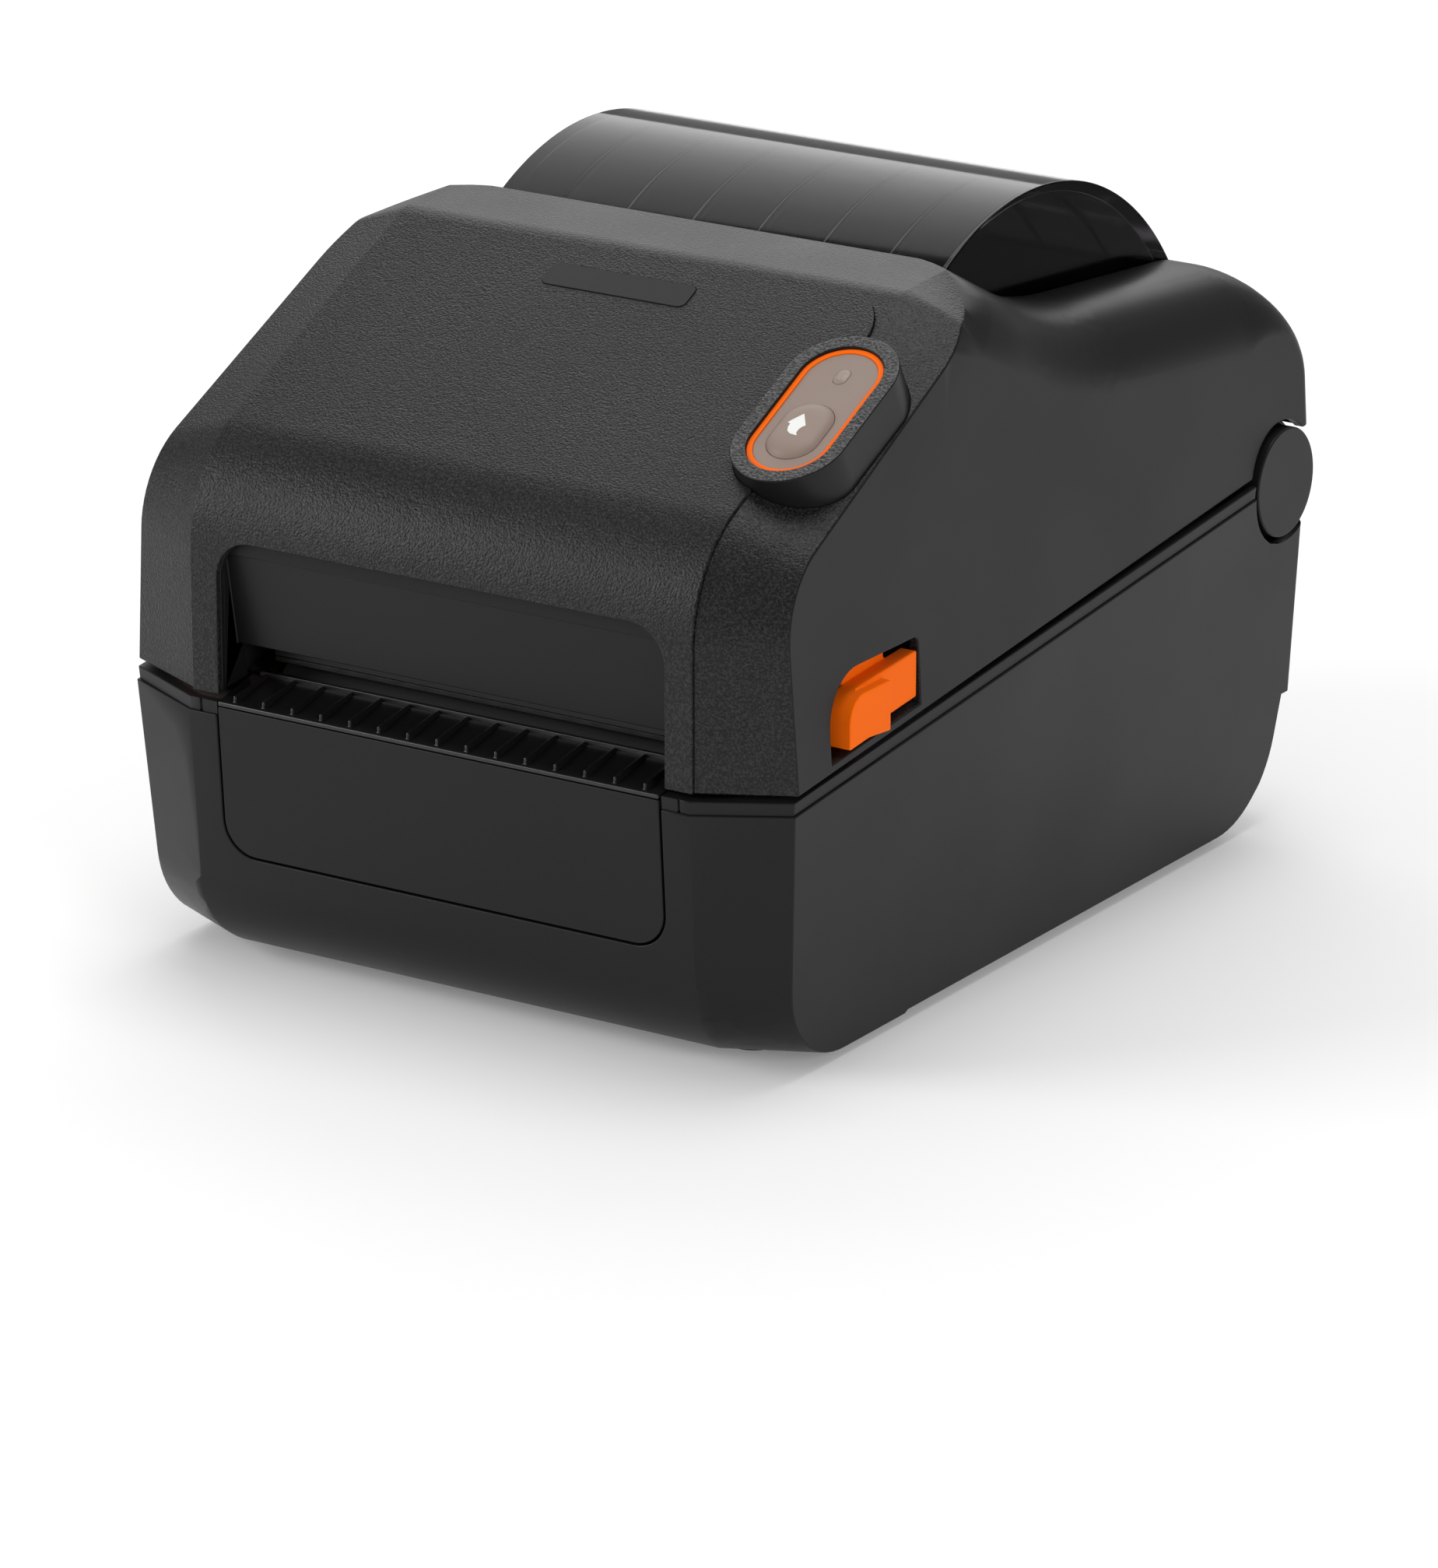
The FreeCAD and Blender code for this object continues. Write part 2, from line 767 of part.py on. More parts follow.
def cover_form(tag, gap):
    """Form of the whole cover without its window, moved inwards by a gap."""
    half_flat = "front_flat / 2"
    skin = "(panel_proud + %s)" % gap
    edge = "(panel_proud + band_depth + %s)" % gap
    hood = loft(
        tag + "_hood",
        hood_profile(tag + "_left_edge", "-case_width / 2", edge),
        hood_profile(tag + "_left_flat", "-" + half_flat, skin),
        hood_profile(tag + "_right_flat", half_flat, skin),
        hood_profile(tag + "_right_edge", "case_width / 2", edge),
    )
    plan = loft(
        tag + "_plan",
        hood_plan(tag + "_plan_low", "0", gap),
        hood_plan(tag + "_plan_high", hood_top("hood_rear"), gap),
    )
    low_corner = (-FAR, "hood_rear - hood_corner", HOOD_FOOT)
    high = block(tag + "_high", low_corner, (FAR, FAR, "2 * shelf_height"))
    cap = cut(tag + "_cap", hood, cut(tag + "_corners", high, plan))
    taper = tapered(tag + "_taper", gap)
    rear_block = prism(tag + "_rear", "YZ", -FAR, FAR, rear_profile(gap))
    shoulder = common(tag + "_shoulder", rear_block, taper)
    front = common(tag + "_front", cap, taper)
    return fuse(tag, front, rounded(tag + "_soft", shoulder, shoulder_radii(gap)))


def hinge_point(x):
    """A point on the cover's hinge axis."""
    return (x, "hinge_y", "hinge_z")


def both_sides(name, item):
    """A solid on the right and its twin on the left, as one."""
    return fuse(name, item, mirrored(name + "_left", item))


def hinge_clearance(name):
    """Round notches that leave a gap about the hinge caps."""
    radius = "hinge_cap_radius + hinge_gap"
    return both_sides(name, rod(name + "_right", "X", hinge_point(HINGE_OUTER), "case_width / 2", radius))


def hinge_notch(name):
    """Slots that the cover's hinge arms swing through."""
    low = (HINGE_EAR + " - hinge_arm_width - 2 * hinge_side_gap", "hinge_y - hinge_notch_depth",
           "hinge_z - hinge_boss_radius - slide_fit")
    high = (HINGE_EAR + " - slide_fit", "case_rear + case_wall", FAR)
    return both_sides(name, block(name + "_right", low, high))


def front_window(name, seam, top):
    """The front panel's outline swept through the front wall."""
    half = "panel_width / 2 + %s" % seam
    foot = "panel_bottom - %s" % seam
    return prism(name, "XZ", -FAR, "corner_depth - case_front", [
        ("-(%s)" % half, foot, "panel_round + %s" % seam),
        (half, foot, "panel_round + %s" % seam),
        (half, top),
        ("-(%s)" % half, top),
    ])


def feet():
    """Four rubber feet let into the case."""
    spots = [(x, y) for y in ("foot_front", "foot_rear") for x in ("-" + FOOT_X, FOOT_X)]
    return [rod("foot%d" % index, "Z", (x, y, "0"), "foot_height", "foot_radius")
            for index, (x, y) in enumerate(spots)]


SCREW_SPOTS = [(x, y) for y in ("screw_front", "screw_rear") for x in ("-" + SCREW_X, SCREW_X)]
SCREW_SEAT = "(bottom_height + screw_head_height)"


def screws():
    """Case screws, from under the floor up into the inner frame's columns."""
    result = []
    for index, (x, y) in enumerate(SCREW_SPOTS):
        tag = "screw%d" % index
        head = rod(tag + "_head", "Z", (x, y, "bottom_height"), "screw_head_height", "screw_head_radius")
        shank = rod(tag + "_shank", "Z", (x, y, SCREW_SEAT), "screw_length", "screw_radius")
        result.append(fuse(tag, head, shank))
    return result


def screw_holes(name):
    """Holes in the floor for the case screws' heads and shanks."""
    holes = []
    for index, (x, y) in enumerate(SCREW_SPOTS):
        start = (x, y, "0")
        tag = "%s_screw%d" % (name, index)
        holes.append(rod(tag + "_sink", "Z", start, SCREW_SEAT, "screw_head_radius + slide_fit"))
        depth = SCREW_SEAT + " + screw_length + slide_fit"
        holes.append(rod(tag + "_hole", "Z", start, depth, "screw_radius"))
    return holes


BOARD_Z = "(%s + boss_height)" % FLOOR_TOP
BOARD_X = "(main_board_width / 2 - 2 * boss_radius)"
BOARD_SPOTS = [(x, y) for y in ("main_board_front + 2 * boss_radius", "main_board_rear - 2 * boss_radius")
               for x in ("-" + BOARD_X, BOARD_X)]
INPUT_BACK = "(input_board_y + board_thickness)"


def case_bosses():
    """Bosses that carry the main board and the input board."""
    bosses = []
    for index, (x, y) in enumerate(BOARD_SPOTS):
        start = (x, y, "bottom_height + case_wall / 2")
        bosses.append(rod("board_boss%d" % index, "Z", start, "boss_height + case_wall / 2", "boss_radius"))
    length = "case_rear - case_wall / 2 - %s" % INPUT_BACK
    for index, sign in enumerate(("-", "")):
        start = ("%s(input_board_half - 2 * boss_radius)" % sign, INPUT_BACK, "socket_z")
        bosses.append(rod("input_boss%d" % index, "Y", start, length, "boss_radius"))
    return bosses


def rear_slot(name, x, width, height):
    """A rectangular hole through the rear wall."""
    half = "(%s) / 2 + seat_fit" % width
    tall = "(%s) / 2 + seat_fit" % height
    low = ("%s - (%s)" % (x, half), "case_rear - 2 * case_wall", "socket_z - (%s)" % tall)
    return block(name, low, ("%s + %s" % (x, half), "case_rear + case_wall", "socket_z + %s" % tall))


SWITCH_LENGTH = "(rocker_length + 2 * rocker_gap + 2 * switch_wall)"
SWITCH_WIDTH = "(rocker_width + 2 * slide_fit + 2 * switch_wall)"


def build_case():
    """Lower case, front panel, feet and screws."""
    outer, hollow = lower_case_forms()
    shell = cut("case_shell", outer, hollow)
    full = fuse("case_with_bosses", shell, *case_bosses())
    feet_solids = feet()
    keep("lower_case", cut(
        "lower_case", full, above_parting("above_case", RIM_FOOT),
        front_window("front_gap", "panel_seam", FAR),
        hinge_clearance("case_hinge_gap"), hinge_notch("case_notch"),
        *feet_solids, *screw_holes("case"),
        rear_slot("usb_slot", "usb_x", "usb_width", "usb_height"),
        rear_slot("jack_slot", "jack_x", "jack_width", "jack_height"),
        rear_slot("switch_slot", "switch_x", SWITCH_LENGTH, SWITCH_WIDTH)))
    fill = front_window("front_fill", "0", "guide_front_height - guide_lip - seat_fit")
    keep("front_panel", cut("front_panel", common("front_plate", outer, fill), hollow))
    keep("rubber_feet", group("rubber_feet", *feet_solids))
    keep("case_screws", group("case_screws", *screws()))


GUIDE_FRONT = "(-case_front + seat_fit)"


def build_exit_guide():
    """Ribbed ledge that labels slide out over, and the steel tear bar behind it."""
    half = "panel_width / 2"
    ledge = prism("ledge", "YZ", "-" + half, half, [
        (GUIDE_FRONT, "guide_front_height - guide_lip"),
        (GUIDE_FRONT + " + case_wall", "guide_front_height - guide_lip"),
        ("guide_rear", "guide_rear_height - guide_thickness"),
        ("guide_rear", "guide_rear_height"),
        (GUIDE_FRONT, "guide_front_height"),
    ])
    ribs = []
    for index in range(int(value("guide_rib_count"))):
        x = "%s * (%d - (guide_rib_count - 1) / 2) - guide_rib_width / 2" % (RIB_PITCH, index)
        ribs.append(prism("guide_rib%d" % index, "YZ", x, x + " + guide_rib_width", [
            (GUIDE_FRONT + " + guide_rib_width", "guide_front_height - guide_lip / 2"),
            ("guide_rear", "guide_rear_height - guide_lip / 2"),
            ("guide_rear", "guide_rear_height + guide_rib_rise / 3"),
            (GUIDE_FRONT + " + guide_rib_width", "guide_front_height + guide_rib_rise"),
        ]))
    keep("exit_guide", fuse("exit_guide", ledge, *ribs))
    low = ("-tear_bar_width / 2", "guide_rear", "guide_rear_height - 3 * guide_thickness")
    high = ("tear_bar_width / 2", "guide_rear + tear_bar_thickness", "guide_rear_height + tear_bar_rise")
    keep("tear_bar", block("tear_bar", low, high))


def deck_slab(name, low, high):
    """A slab between two planes parallel to the parting plane."""
    return prism(name, "YZ", -FAR, FAR, [(-FAR, parting(-FAR, low)), (FAR, parting(FAR, low)),
                                         (FAR, parting(FAR, high)), (-FAR, parting(-FAR, high))])


WELL_HALF = "(well_width / 2)"
PITCH_RADIUS = "(gear_module * guide_pinion_teeth / 2 + mesh_slack)"
RACK_BACK = "(%s + gear_module + rack_depth)" % PITCH_RADIUS
RACK_FACE = "(%s + gear_module)" % PITCH_RADIUS
CATCH_Y = "(latch_y + latch_stem / 2 + latch_bite)"


def rack_slot(name):
    """Slot in the deck for one media guide's neck, over its whole travel, on the right."""
    low = ("guide_inner - guide_travel - slide_fit", "guide_y - %s - slide_fit" % RACK_BACK, "0")
    high = ("guide_inner + guide_sheet + slide_fit", "guide_y - %s + slide_fit" % RACK_FACE, FAR)
    return block(name, low, high)


def rack_slot_left(name):
    """The same slot for the left guide, behind the pinion."""
    low = ("-(guide_inner + guide_sheet + slide_fit)", "guide_y + %s - slide_fit" % RACK_FACE, "0")
    high = ("guide_travel - guide_inner + slide_fit", "guide_y + %s + slide_fit" % RACK_BACK, FAR)
    return block(name, low, high)


TRAY_TOP = "(rack_z - slide_fit)"


def rack_tray():
    """Tray under the deck that the guides' racks run on, with the pinion's post."""
    half = "(%s + well_wall)" % WELL_HALF
    front = "(guide_y - %s - tray_thickness)" % RACK_BACK
    rear = "(guide_y + %s + tray_thickness)" % RACK_BACK
    low = TRAY_TOP + " - tray_thickness"
    plate = block("tray_plate", ("-" + half, front, low), (half, rear, TRAY_TOP))
    deck = parting(front, DECK_TOP)
    ends = [block("tray_end%d" % index, (x, front, low), (x + " + well_wall", rear, deck))
            for index, x in enumerate(("-" + half, WELL_HALF))]
    height = "rack_height + tray_thickness + slide_fit"
    return [plate, rod("pinion_post", "Z", ("0", "guide_y", low), height, "motor_shaft_radius")] + ends


def frame_body():
    """Deck with its belt rim, media tub, platen cheeks, hinge ears, screw columns and rack tray."""
    outer = loft("rim_walls", case_section("rim_low", "0", "rim_inset"),
                 case_section("rim_high", "2 * parting_height", "rim_inset"))
    inside = loft("lip_walls", case_section("lip_low", "0", "lip_width + rim_inset"),
                  case_section("lip_high", "2 * parting_height", "lip_width + rim_inset"))
    deck = common("deck", outer, deck_slab("deck_layer", RIM_FOOT, DECK_TOP))
    lip = cut("lip", common("lip_band", outer, deck_slab("lip_layer", DECK_TOP, RIM_TOP)), inside)
    tub_end = ("-%s - well_wall" % WELL_HALF, "window_y", "window_z")
    drum = rod("tub_round", "X", tub_end, "well_width + 2 * well_wall", "well_radius + well_wall")
    tub = common("tub", drum, below_parting("under_deck", DECK_TOP))
    reach = "bush_radius + case_wall"
    cheek = block("cheek", ("bush_x", "platen_y - (%s)" % reach, "platen_z - (%s)" % reach),
                  ("bush_x + bush_width", "platen_y + " + reach, "platen_z + bush_radius / 2"))
    bite = " + deck_thickness / 2"
    ear = block("ear", (HINGE_EAR, "hinge_y - hinge_boss_radius", "hinge_z - hinge_boss_radius"),
                (HINGE_OUTER, "hinge_y + hinge_boss_radius", parting("hinge_y", RIM_FOOT) + bite))
    columns = []
    for index, (x, y) in enumerate(SCREW_SPOTS):
        height = parting(y, RIM_FOOT) + bite + " - (%s)" % FLOOR_TOP
        columns.append(rod("column%d" % index, "Z", (x, y, FLOOR_TOP), height, "column_radius"))
    sides = [both_sides("cheeks", cheek), both_sides("ears", ear)]
    return fuse("frame_body", deck, lip, tub, *sides, *columns, *rack_tray())


def platen_gaps():
    """Slots and bores in the frame for the platen, its shaft, bushes and gear."""
    rubber = "(platen_radius + slide_fit)"
    shaft = "(platen_shaft_radius + slide_fit)"
    wheel = "(gear_module * (platen_teeth / 2 + 2))"
    return [
        block("platen_slot", ("-bush_x", "platen_y - " + rubber, "0"), ("bush_x", "platen_y + " + rubber, FAR)),
        block("shaft_slot", ("gear_x - gear_module", "platen_y - " + shaft, "platen_z"),
              ("platen_right_end + gear_module", "platen_y + " + shaft, FAR)),
        rod("bush_seats", "X", ("-bush_x - bush_width", "platen_y", "platen_z"),
            "2 * (bush_x + bush_width)", "bush_radius"),
        block("gear_slot", ("gear_x - gear_module", "platen_y - " + wheel, "platen_z"),
              ("gear_x + gear_width + gear_module", "platen_y + " + wheel, FAR)),
    ]


def build_frame():
    """Inner frame with its media well and the gaps for everything that passes through it."""
    swing = "latch_y - latch_stem / 2 - 2 * latch_stem"
    hook = block("hook_slot", (LATCH_INNER + " - latch_side_gap", swing, "0"),
                 (LATCH_INNER + " + latch_arm_width + latch_side_gap", CATCH_Y, FAR))
    pin_hole = rod("pin_hole", "X", hinge_point("0"), "case_width / 2", "hinge_pin_radius")
    nick_side = "panel_width / 2 + panel_seam + nick_offset"
    nick = block("nick", (nick_side, -FAR, parting("-case_front", RIM_FOOT)),
                 (nick_side + " + nick_width", "-case_front + rim_inset + nick_depth", FAR))
    keep("inner_frame", cut(
        "inner_frame", frame_body(), *platen_gaps(),
        rod("well", "X", ("-" + WELL_HALF, "window_y", "window_z"), "well_width", "well_radius"),
        both_sides("hook_slots", hook), both_sides("pin_holes", pin_hole), both_sides("nicks", nick),
        rack_slot("right_slot"), rack_slot_left("left_slot"),
        block("sensor_slot", ("-sensor_width / 2", "sensor_y - sensor_depth / 2", "0"),
              ("sensor_width / 2", "sensor_y + sensor_depth / 2", FAR)),
        block("front_break", ("-panel_width / 2 - panel_seam", -FAR, "0"),
              ("panel_width / 2 + panel_seam", "guide_rear + 2 * tear_bar_thickness", FAR)),
        hinge_clearance("frame_hinge_gap"), hinge_notch("frame_notch"), *screw_holes("frame")))


def build_hinge():
    """Hinge pins held in the frame's ears, with a round cap on each side."""
    inner = HINGE_EAR + " - hinge_arm_width - 2 * hinge_side_gap"
    pin = rod("pin", "X", hinge_point(inner), "%s - (%s)" % (HINGE_OUTER, inner), "hinge_pin_radius")
    keep("hinge_pins", group("hinge_pins", pin, mirrored("pin_left", pin)))
    width = "case_width / 2 + hinge_cap_proud - (%s)" % HINGE_OUTER
    disc = rod("cap_disc", "X", hinge_point(HINGE_OUTER), width, "hinge_cap_radius")
    ring = rod("cap_ring", "X", hinge_point(HINGE_OUTER), "hinge_flange_width",
               "hinge_cap_radius + hinge_gap - slide_fit")
    flange = cut("cap_flange", ring, block("behind_cap", ("0", "rear_face - slide_fit", "0"), (FAR, FAR, FAR)))
    cap = keep("hinge_cap_right", fuse("hinge_cap_right", disc, flange))
    keep("hinge_cap_left", mirrored("hinge_cap_left", cap))


def hinge_arm():
    """Arm on the right that joins the cover's side wall to its hinge pin."""
    inner = HINGE_EAR + " - hinge_arm_width - hinge_side_gap"
    outer = HINGE_EAR + " - hinge_side_gap"
    reach = "hinge_arm_reach"
    plate = prism("arm_plate", "YZ", inner, outer, [
        ("hinge_y - " + reach, "hinge_z + %s / 2" % reach),
        ("hinge_y - hinge_boss_radius / 2", "hinge_z - hinge_pin_radius"),
        ("hinge_y + hinge_boss_radius / 2", "hinge_z + hinge_pin_radius"),
        ("hinge_y - %s / 2" % reach, "hinge_z + " + reach),
        ("hinge_y - " + reach, "hinge_z + " + reach),
    ])
    root = block("arm_root", (inner, "hinge_y - " + reach, "hinge_z + %s / 2" % reach),
                 ("case_width / 2", "hinge_y - %s / 2" % reach, "hinge_z + " + reach))
    return [plate, rod("arm_boss", "X", hinge_point(inner), "hinge_arm_width", "hinge_boss_radius"), root]


POST_SPOTS = [(x, y) for y in ("mount_front + 2 * post_radius", "mount_rear - 2 * post_radius")
              for x in ("-post_x", "post_x")]


def label_opening(name):
    """The label opening swept through the front of the cover."""
    half = "opening_width / 2"
    return prism(name, "XZ", -FAR, "nose_radius - hood_front", [
        ("-" + half, "0"),
        (half, "0"),
        (half, "opening_top", "opening_round"),
        ("-" + half, "opening_top", "opening_round"),
    ])


def latch_pocket(name):
    """The pocket in the right side wall that the latch lever moves in."""
    return prism(name, "YZ", LATCH_OUTER, FAR, [
        ("pocket_front", parting("pocket_front", "pocket_strip")),
        ("pocket_rear", parting("pocket_rear", "pocket_strip")),
        ("pocket_rear", "pocket_top", "pocket_round / 8"),
        ("pocket_front", "pocket_top", "pocket_round"),
    ])


def tilted_slot(name, offset, length, radius, low, high):
    """A round-ended solid standing square on the sloping panel, over the pod's middle."""
    profile = add("Sketcher::SketchObject", name + "_outline")
    tilt = FreeCAD.Rotation(Vector(1, 0, 0), math.degrees(math.atan(value("slope_rise"))))
    y = "pod_y + (%s) * %s - (%s) * %s" % (offset, SLOPE_COS, low, SLOPE_SIN)
    z = "%s + (%s) * %s + (%s) * %s" % (slope("pod_y"), offset, SLOPE_SIN, low, SLOPE_COS)
    place(profile, POD_X, y, z, rotation=tilt)
    half, size = value("(%s) / 2" % length), value(radius)
    spec = Sketcher.Constraint
    arcs = []
    for sign, start in ((1, 0.0), (-1, math.pi)):
        circle = Part.Circle(Vector(0, sign * half, 0), Vector(0, 0, 1), size)
        arc = profile.addGeometry(Part.ArcOfCircle(circle, start, start + math.pi), False)
        pin_point(profile, "end%d" % arc, arc, 3, "0", "%d * (%s) / 2" % (sign, length))
        datum(profile, "round%d" % arc, spec("Radius", arc, size), radius)
        arcs.append(arc)
    for sign, first, last in ((-1, arcs[0], arcs[1]), (1, arcs[1], arcs[0])):
        ends = [Vector(sign * size, -sign * half, 0), Vector(sign * size, sign * half, 0)]
        line = profile.addGeometry(Part.LineSegment(*ends), False)
        profile.addConstraint(spec("Tangent", line, 1, first, 2))
        profile.addConstraint(spec("Tangent", line, 2, last, 1))
    normal = Vector(0, -value(SLOPE_SIN), value(SLOPE_COS))
    return extrude(name, profile, normal, "(%s) - (%s)" % (high, low))


def tilted_box(name, x, y, low, high):
    """A box on the sloping panel about a point, between two corners across, along and out of the slope."""
    box = add("Part::Box", name)
    tilt = FreeCAD.Rotation(Vector(1, 0, 0), math.degrees(math.atan(value("slope_rise"))))
    across, along, out = low
    place(box, "%s + (%s)" % (x, across),
          "%s + (%s) * %s - (%s) * %s" % (y, along, SLOPE_COS, out, SLOPE_SIN),
          "%s + (%s) * %s + (%s) * %s" % (slope(y), along, SLOPE_SIN, out, SLOPE_COS), rotation=tilt)
    for prop, start, end in zip(("Length", "Width", "Height"), low, high):
        bind(box, prop, "(%s) - (%s)" % (end, start))
    return box


def hood_slab():
    """Raised panel over the hood's front and slope, with rounded far corners."""
    half = "front_flat / 2"
    across = Vector(1, 0, 0)
    solid = extrude("slab_outer", hood_profile("slab_face", "-" + half, "0"), across, "front_flat")
    core = extrude("slab_core", hood_profile("slab_back", "-" + half, "panel_thickness"), across, "front_flat")
    region = prism("slab_region", "XY", "0", "2 * shelf_height", [
        ("-" + half, -FAR),
        (half, -FAR),
        (half, "panel_far", "panel_corner"),
        ("-" + half, "panel_far", "panel_corner"),
    ])
    return common("slab", cut("slab_skin", solid, core), region)


def badge_form(name):
    """The badge plate's form on the hood panel, with rounded corners."""
    box = tilted_box(name + "_box", "0", "badge_y", ("-badge_width / 2", "-badge_height / 2", "-badge_depth"),
                     ("badge_width / 2", "badge_height / 2", "badge_proud"))
    thick = value("badge_depth + badge_proud")
    size = value("badge_round")
    return rounded(name, box, lambda edge: (size, size) if abs(edge.Length - thick) < thick / 2 else None)


def pod_gap(name, depth):
    """The hole that the control pod fills."""
    return tilted_slot(name, "0", "pod_length", "pod_radius", "-" + depth, "2 * pod_proud")


def build_shell(outer, hollow, slab):
    """Cover shell with its hinge arms and the posts that carry the head mount."""
    arms = both_sides("arms", common("arm", fuse("arm_parts", *hinge_arm()), outer))
    posts = []
    for index, (x, y) in enumerate(POST_SPOTS):
        stem = rod("post_rod%d" % index, "Z", (x, y, "mount_top"), "mount_top", "post_radius")
        posts.append(common("post%d" % index, stem, outer))
    shell = fuse("cover_full", cut("cover_skin", outer, hollow), *posts)
    window_end = ("-window_width / 2 - seat_fit", "window_y", "window_z")
    trimmed = cut(
        "cover_trim", shell, slab, below_parting("below_cover", "0"), label_opening("cover_opening"),
        rod("window_gap", "X", window_end, "window_width + 2 * seat_fit", "window_radius + seat_fit"),
        both_sides("pockets", latch_pocket("pocket")), hinge_clearance("cover_hinge_gap"),
        block("rear_foot", (-FAR, "hinge_y", "0"), (FAR, FAR, "cover_rear_edge")),
        pod_gap("pod_hole", "2 * pod_depth"))
    bore = rod("arm_bore", "X", hinge_point("0"), "case_width / 2", "hinge_pin_radius + running_fit")
    whole = fuse("cover_with_arms", trimmed, arms)
    keep("cover_shell", cut("cover_shell", whole, both_sides("arm_bores", bore)))


def window_drum(name, x, width, radius):
    """A drum about the media roll's axis."""
    return rod(name, "X", (x, "window_y", "window_z"), width, radius)


def build_window(hollow):
    """Arched media window with its ribs, down to the cover's inner face."""
    half = "window_width / 2"
    inner = "window_radius - window_wall"
    dome = cut("dome", window_drum("dome_outer", "-" + half, "window_width", "window_radius"),
               window_drum("dome_inner", "window_wall - " + half, "window_width - 2 * window_wall", inner))
    ribs = []
    for index in range(int(value("window_rib_count"))):
        x = "window_rib_pitch * (%d - (window_rib_count - 1) / 2) - window_rib_width / 2" % index
        hoop = window_drum("rib_outer%d" % index, x, "window_rib_width", inner)
        bore = window_drum("rib_inner%d" % index, x, "window_rib_width", inner + " - window_rib_rise")
        ribs.append(cut("window_rib%d" % index, hoop, bore))
    keep("media_window", cut("media_window", fuse("ribbed_dome", dome, *ribs), hollow))


def build_cover():
    """Cover shell, raised hood panel, badge plate and media window."""
    outer = cover_form("cover_outer", "0")
    hollow = cover_form("cover_hollow", "cover_wall")
    slab = hood_slab()
    build_shell(outer, hollow, slab)
    keep("hood_panel", cut("hood_panel", slab, below_parting("below_panel", "0"), badge_form("badge_seat"),
                           label_opening("panel_opening"), pod_gap("panel_pod_hole", "pod_depth")))
    keep("badge_plate", badge_form("badge_plate"))
    build_window(hollow)
    return hollow


def build_visor(hollow):
    """Sloping wall and cheeks behind the label opening, inside the cover's hollow."""
    inside = "(-hood_front + panel_proud + cover_wall)"
    half = "(opening_width / 2 + seat_fit)"
    outer = half + " + visor_thickness"
    roof = "opening_top + visor_thickness"
    top_back = ("visor_top_y + visor_thickness", roof)
    wall = prism("visor_wall", "YZ", "-%s - visor_thickness" % half, outer, [
        (inside, "visor_top_z"),
        ("visor_top_y", "visor_top_z"),
        ("visor_foot_y", "visor_foot_z"),
        ("visor_foot_y + visor_thickness", "visor_foot_z"),
        top_back,
        (inside, roof),
    ])
    cheek = prism("visor_cheek", "YZ", half, outer, [
        (inside, parting(inside, "seat_fit")),
        ("guide_rear", parting("guide_rear", "seat_fit")),
        ("visor_foot_y + visor_thickness", "visor_foot_z + visor_thickness"),
        top_back,
        (inside, roof),
    ])
    solid = fuse("visor_solid", wall, both_sides("visor_cheeks", cheek))
    keep("exit_visor", common("exit_visor", solid, hollow))


POD_FLOOR = "(pod_proud - keypad_thickness)"
POD_TOP = "2 * pod_proud"
KEYPAD_FACE = "(pod_proud - keypad_sink)"


def pod_slot(name, radius, low, high):
    """A solid with the pod's own round-ended outline."""
    return tilted_slot(name, "0", "pod_length", radius, low, high)


def button_shape(name, grow, low, high):
    """A solid with the feed button's outline, made larger by some clearance."""
    return tilted_slot(name, "button_offset", "button_length", "button_radius + " + grow, low, high)


def lens_shape(name, grow, low, high):
    """A solid with the status lens's outline, made larger by some clearance."""
    return tilted_slot(name, "lens_offset", "lens_radius", "lens_radius + " + grow, low, high)


def build_pod():
    """Control pod with its ring, keypad, lens, board and feed button."""
    shell = pod_slot("pod_solid", "pod_radius", "-pod_depth", "pod_proud")
    well = pod_slot("pod_well", "ring_radius", POD_FLOOR, POD_TOP)
    under = pod_slot("pod_under", "pod_radius - pod_wall", "-2 * pod_depth", POD_FLOOR + " - pod_floor")
    keep("control_pod", cut("control_pod", shell, well, under,
                            lens_shape("pod_lens_hole", "running_fit", "-pod_depth", POD_TOP),
                            button_shape("pod_button_hole", "slide_fit", "-pod_depth", POD_TOP)))
    inner = "(ring_radius - ring_width)"
    ring = pod_slot("ring_solid", "ring_radius", POD_FLOOR, "pod_proud - ring_sink")
    keep("keypad_ring", cut("keypad_ring", ring, pod_slot("ring_hole", inner, "-pod_depth", POD_TOP)))
    keep("keypad", cut("keypad", pod_slot("pad_solid", inner, POD_FLOOR, KEYPAD_FACE),
                       lens_shape("pad_lens_hole", "running_fit", "-pod_depth", POD_TOP),
                       button_shape("pad_button_hole", "slide_fit", "-pod_depth", POD_TOP)))
    keep("status_lens", lens_shape("status_lens", "0", POD_FLOOR + " - pod_floor",
                                   KEYPAD_FACE + " + lens_proud"))
    keep("feed_button", button_shape("feed_button", "0", POD_FLOOR + " - button_depth",
                                     KEYPAD_FACE + " + button_proud"))
    top = "(%s - button_depth - button_travel - slide_fit - switch_height)" % POD_FLOOR
    board = pod_slot("board_sheet", "pod_radius - pod_wall", top + " - board_thickness", top)
    half = "switch_size / 2"
    switch = tilted_box("tact_switch", POD_X, "pod_y", ("-" + half, "button_offset - " + half, top),
                        (half, "button_offset + " + half, top + " + switch_height"))
    keep("button_board", fuse("button_board", board, switch))


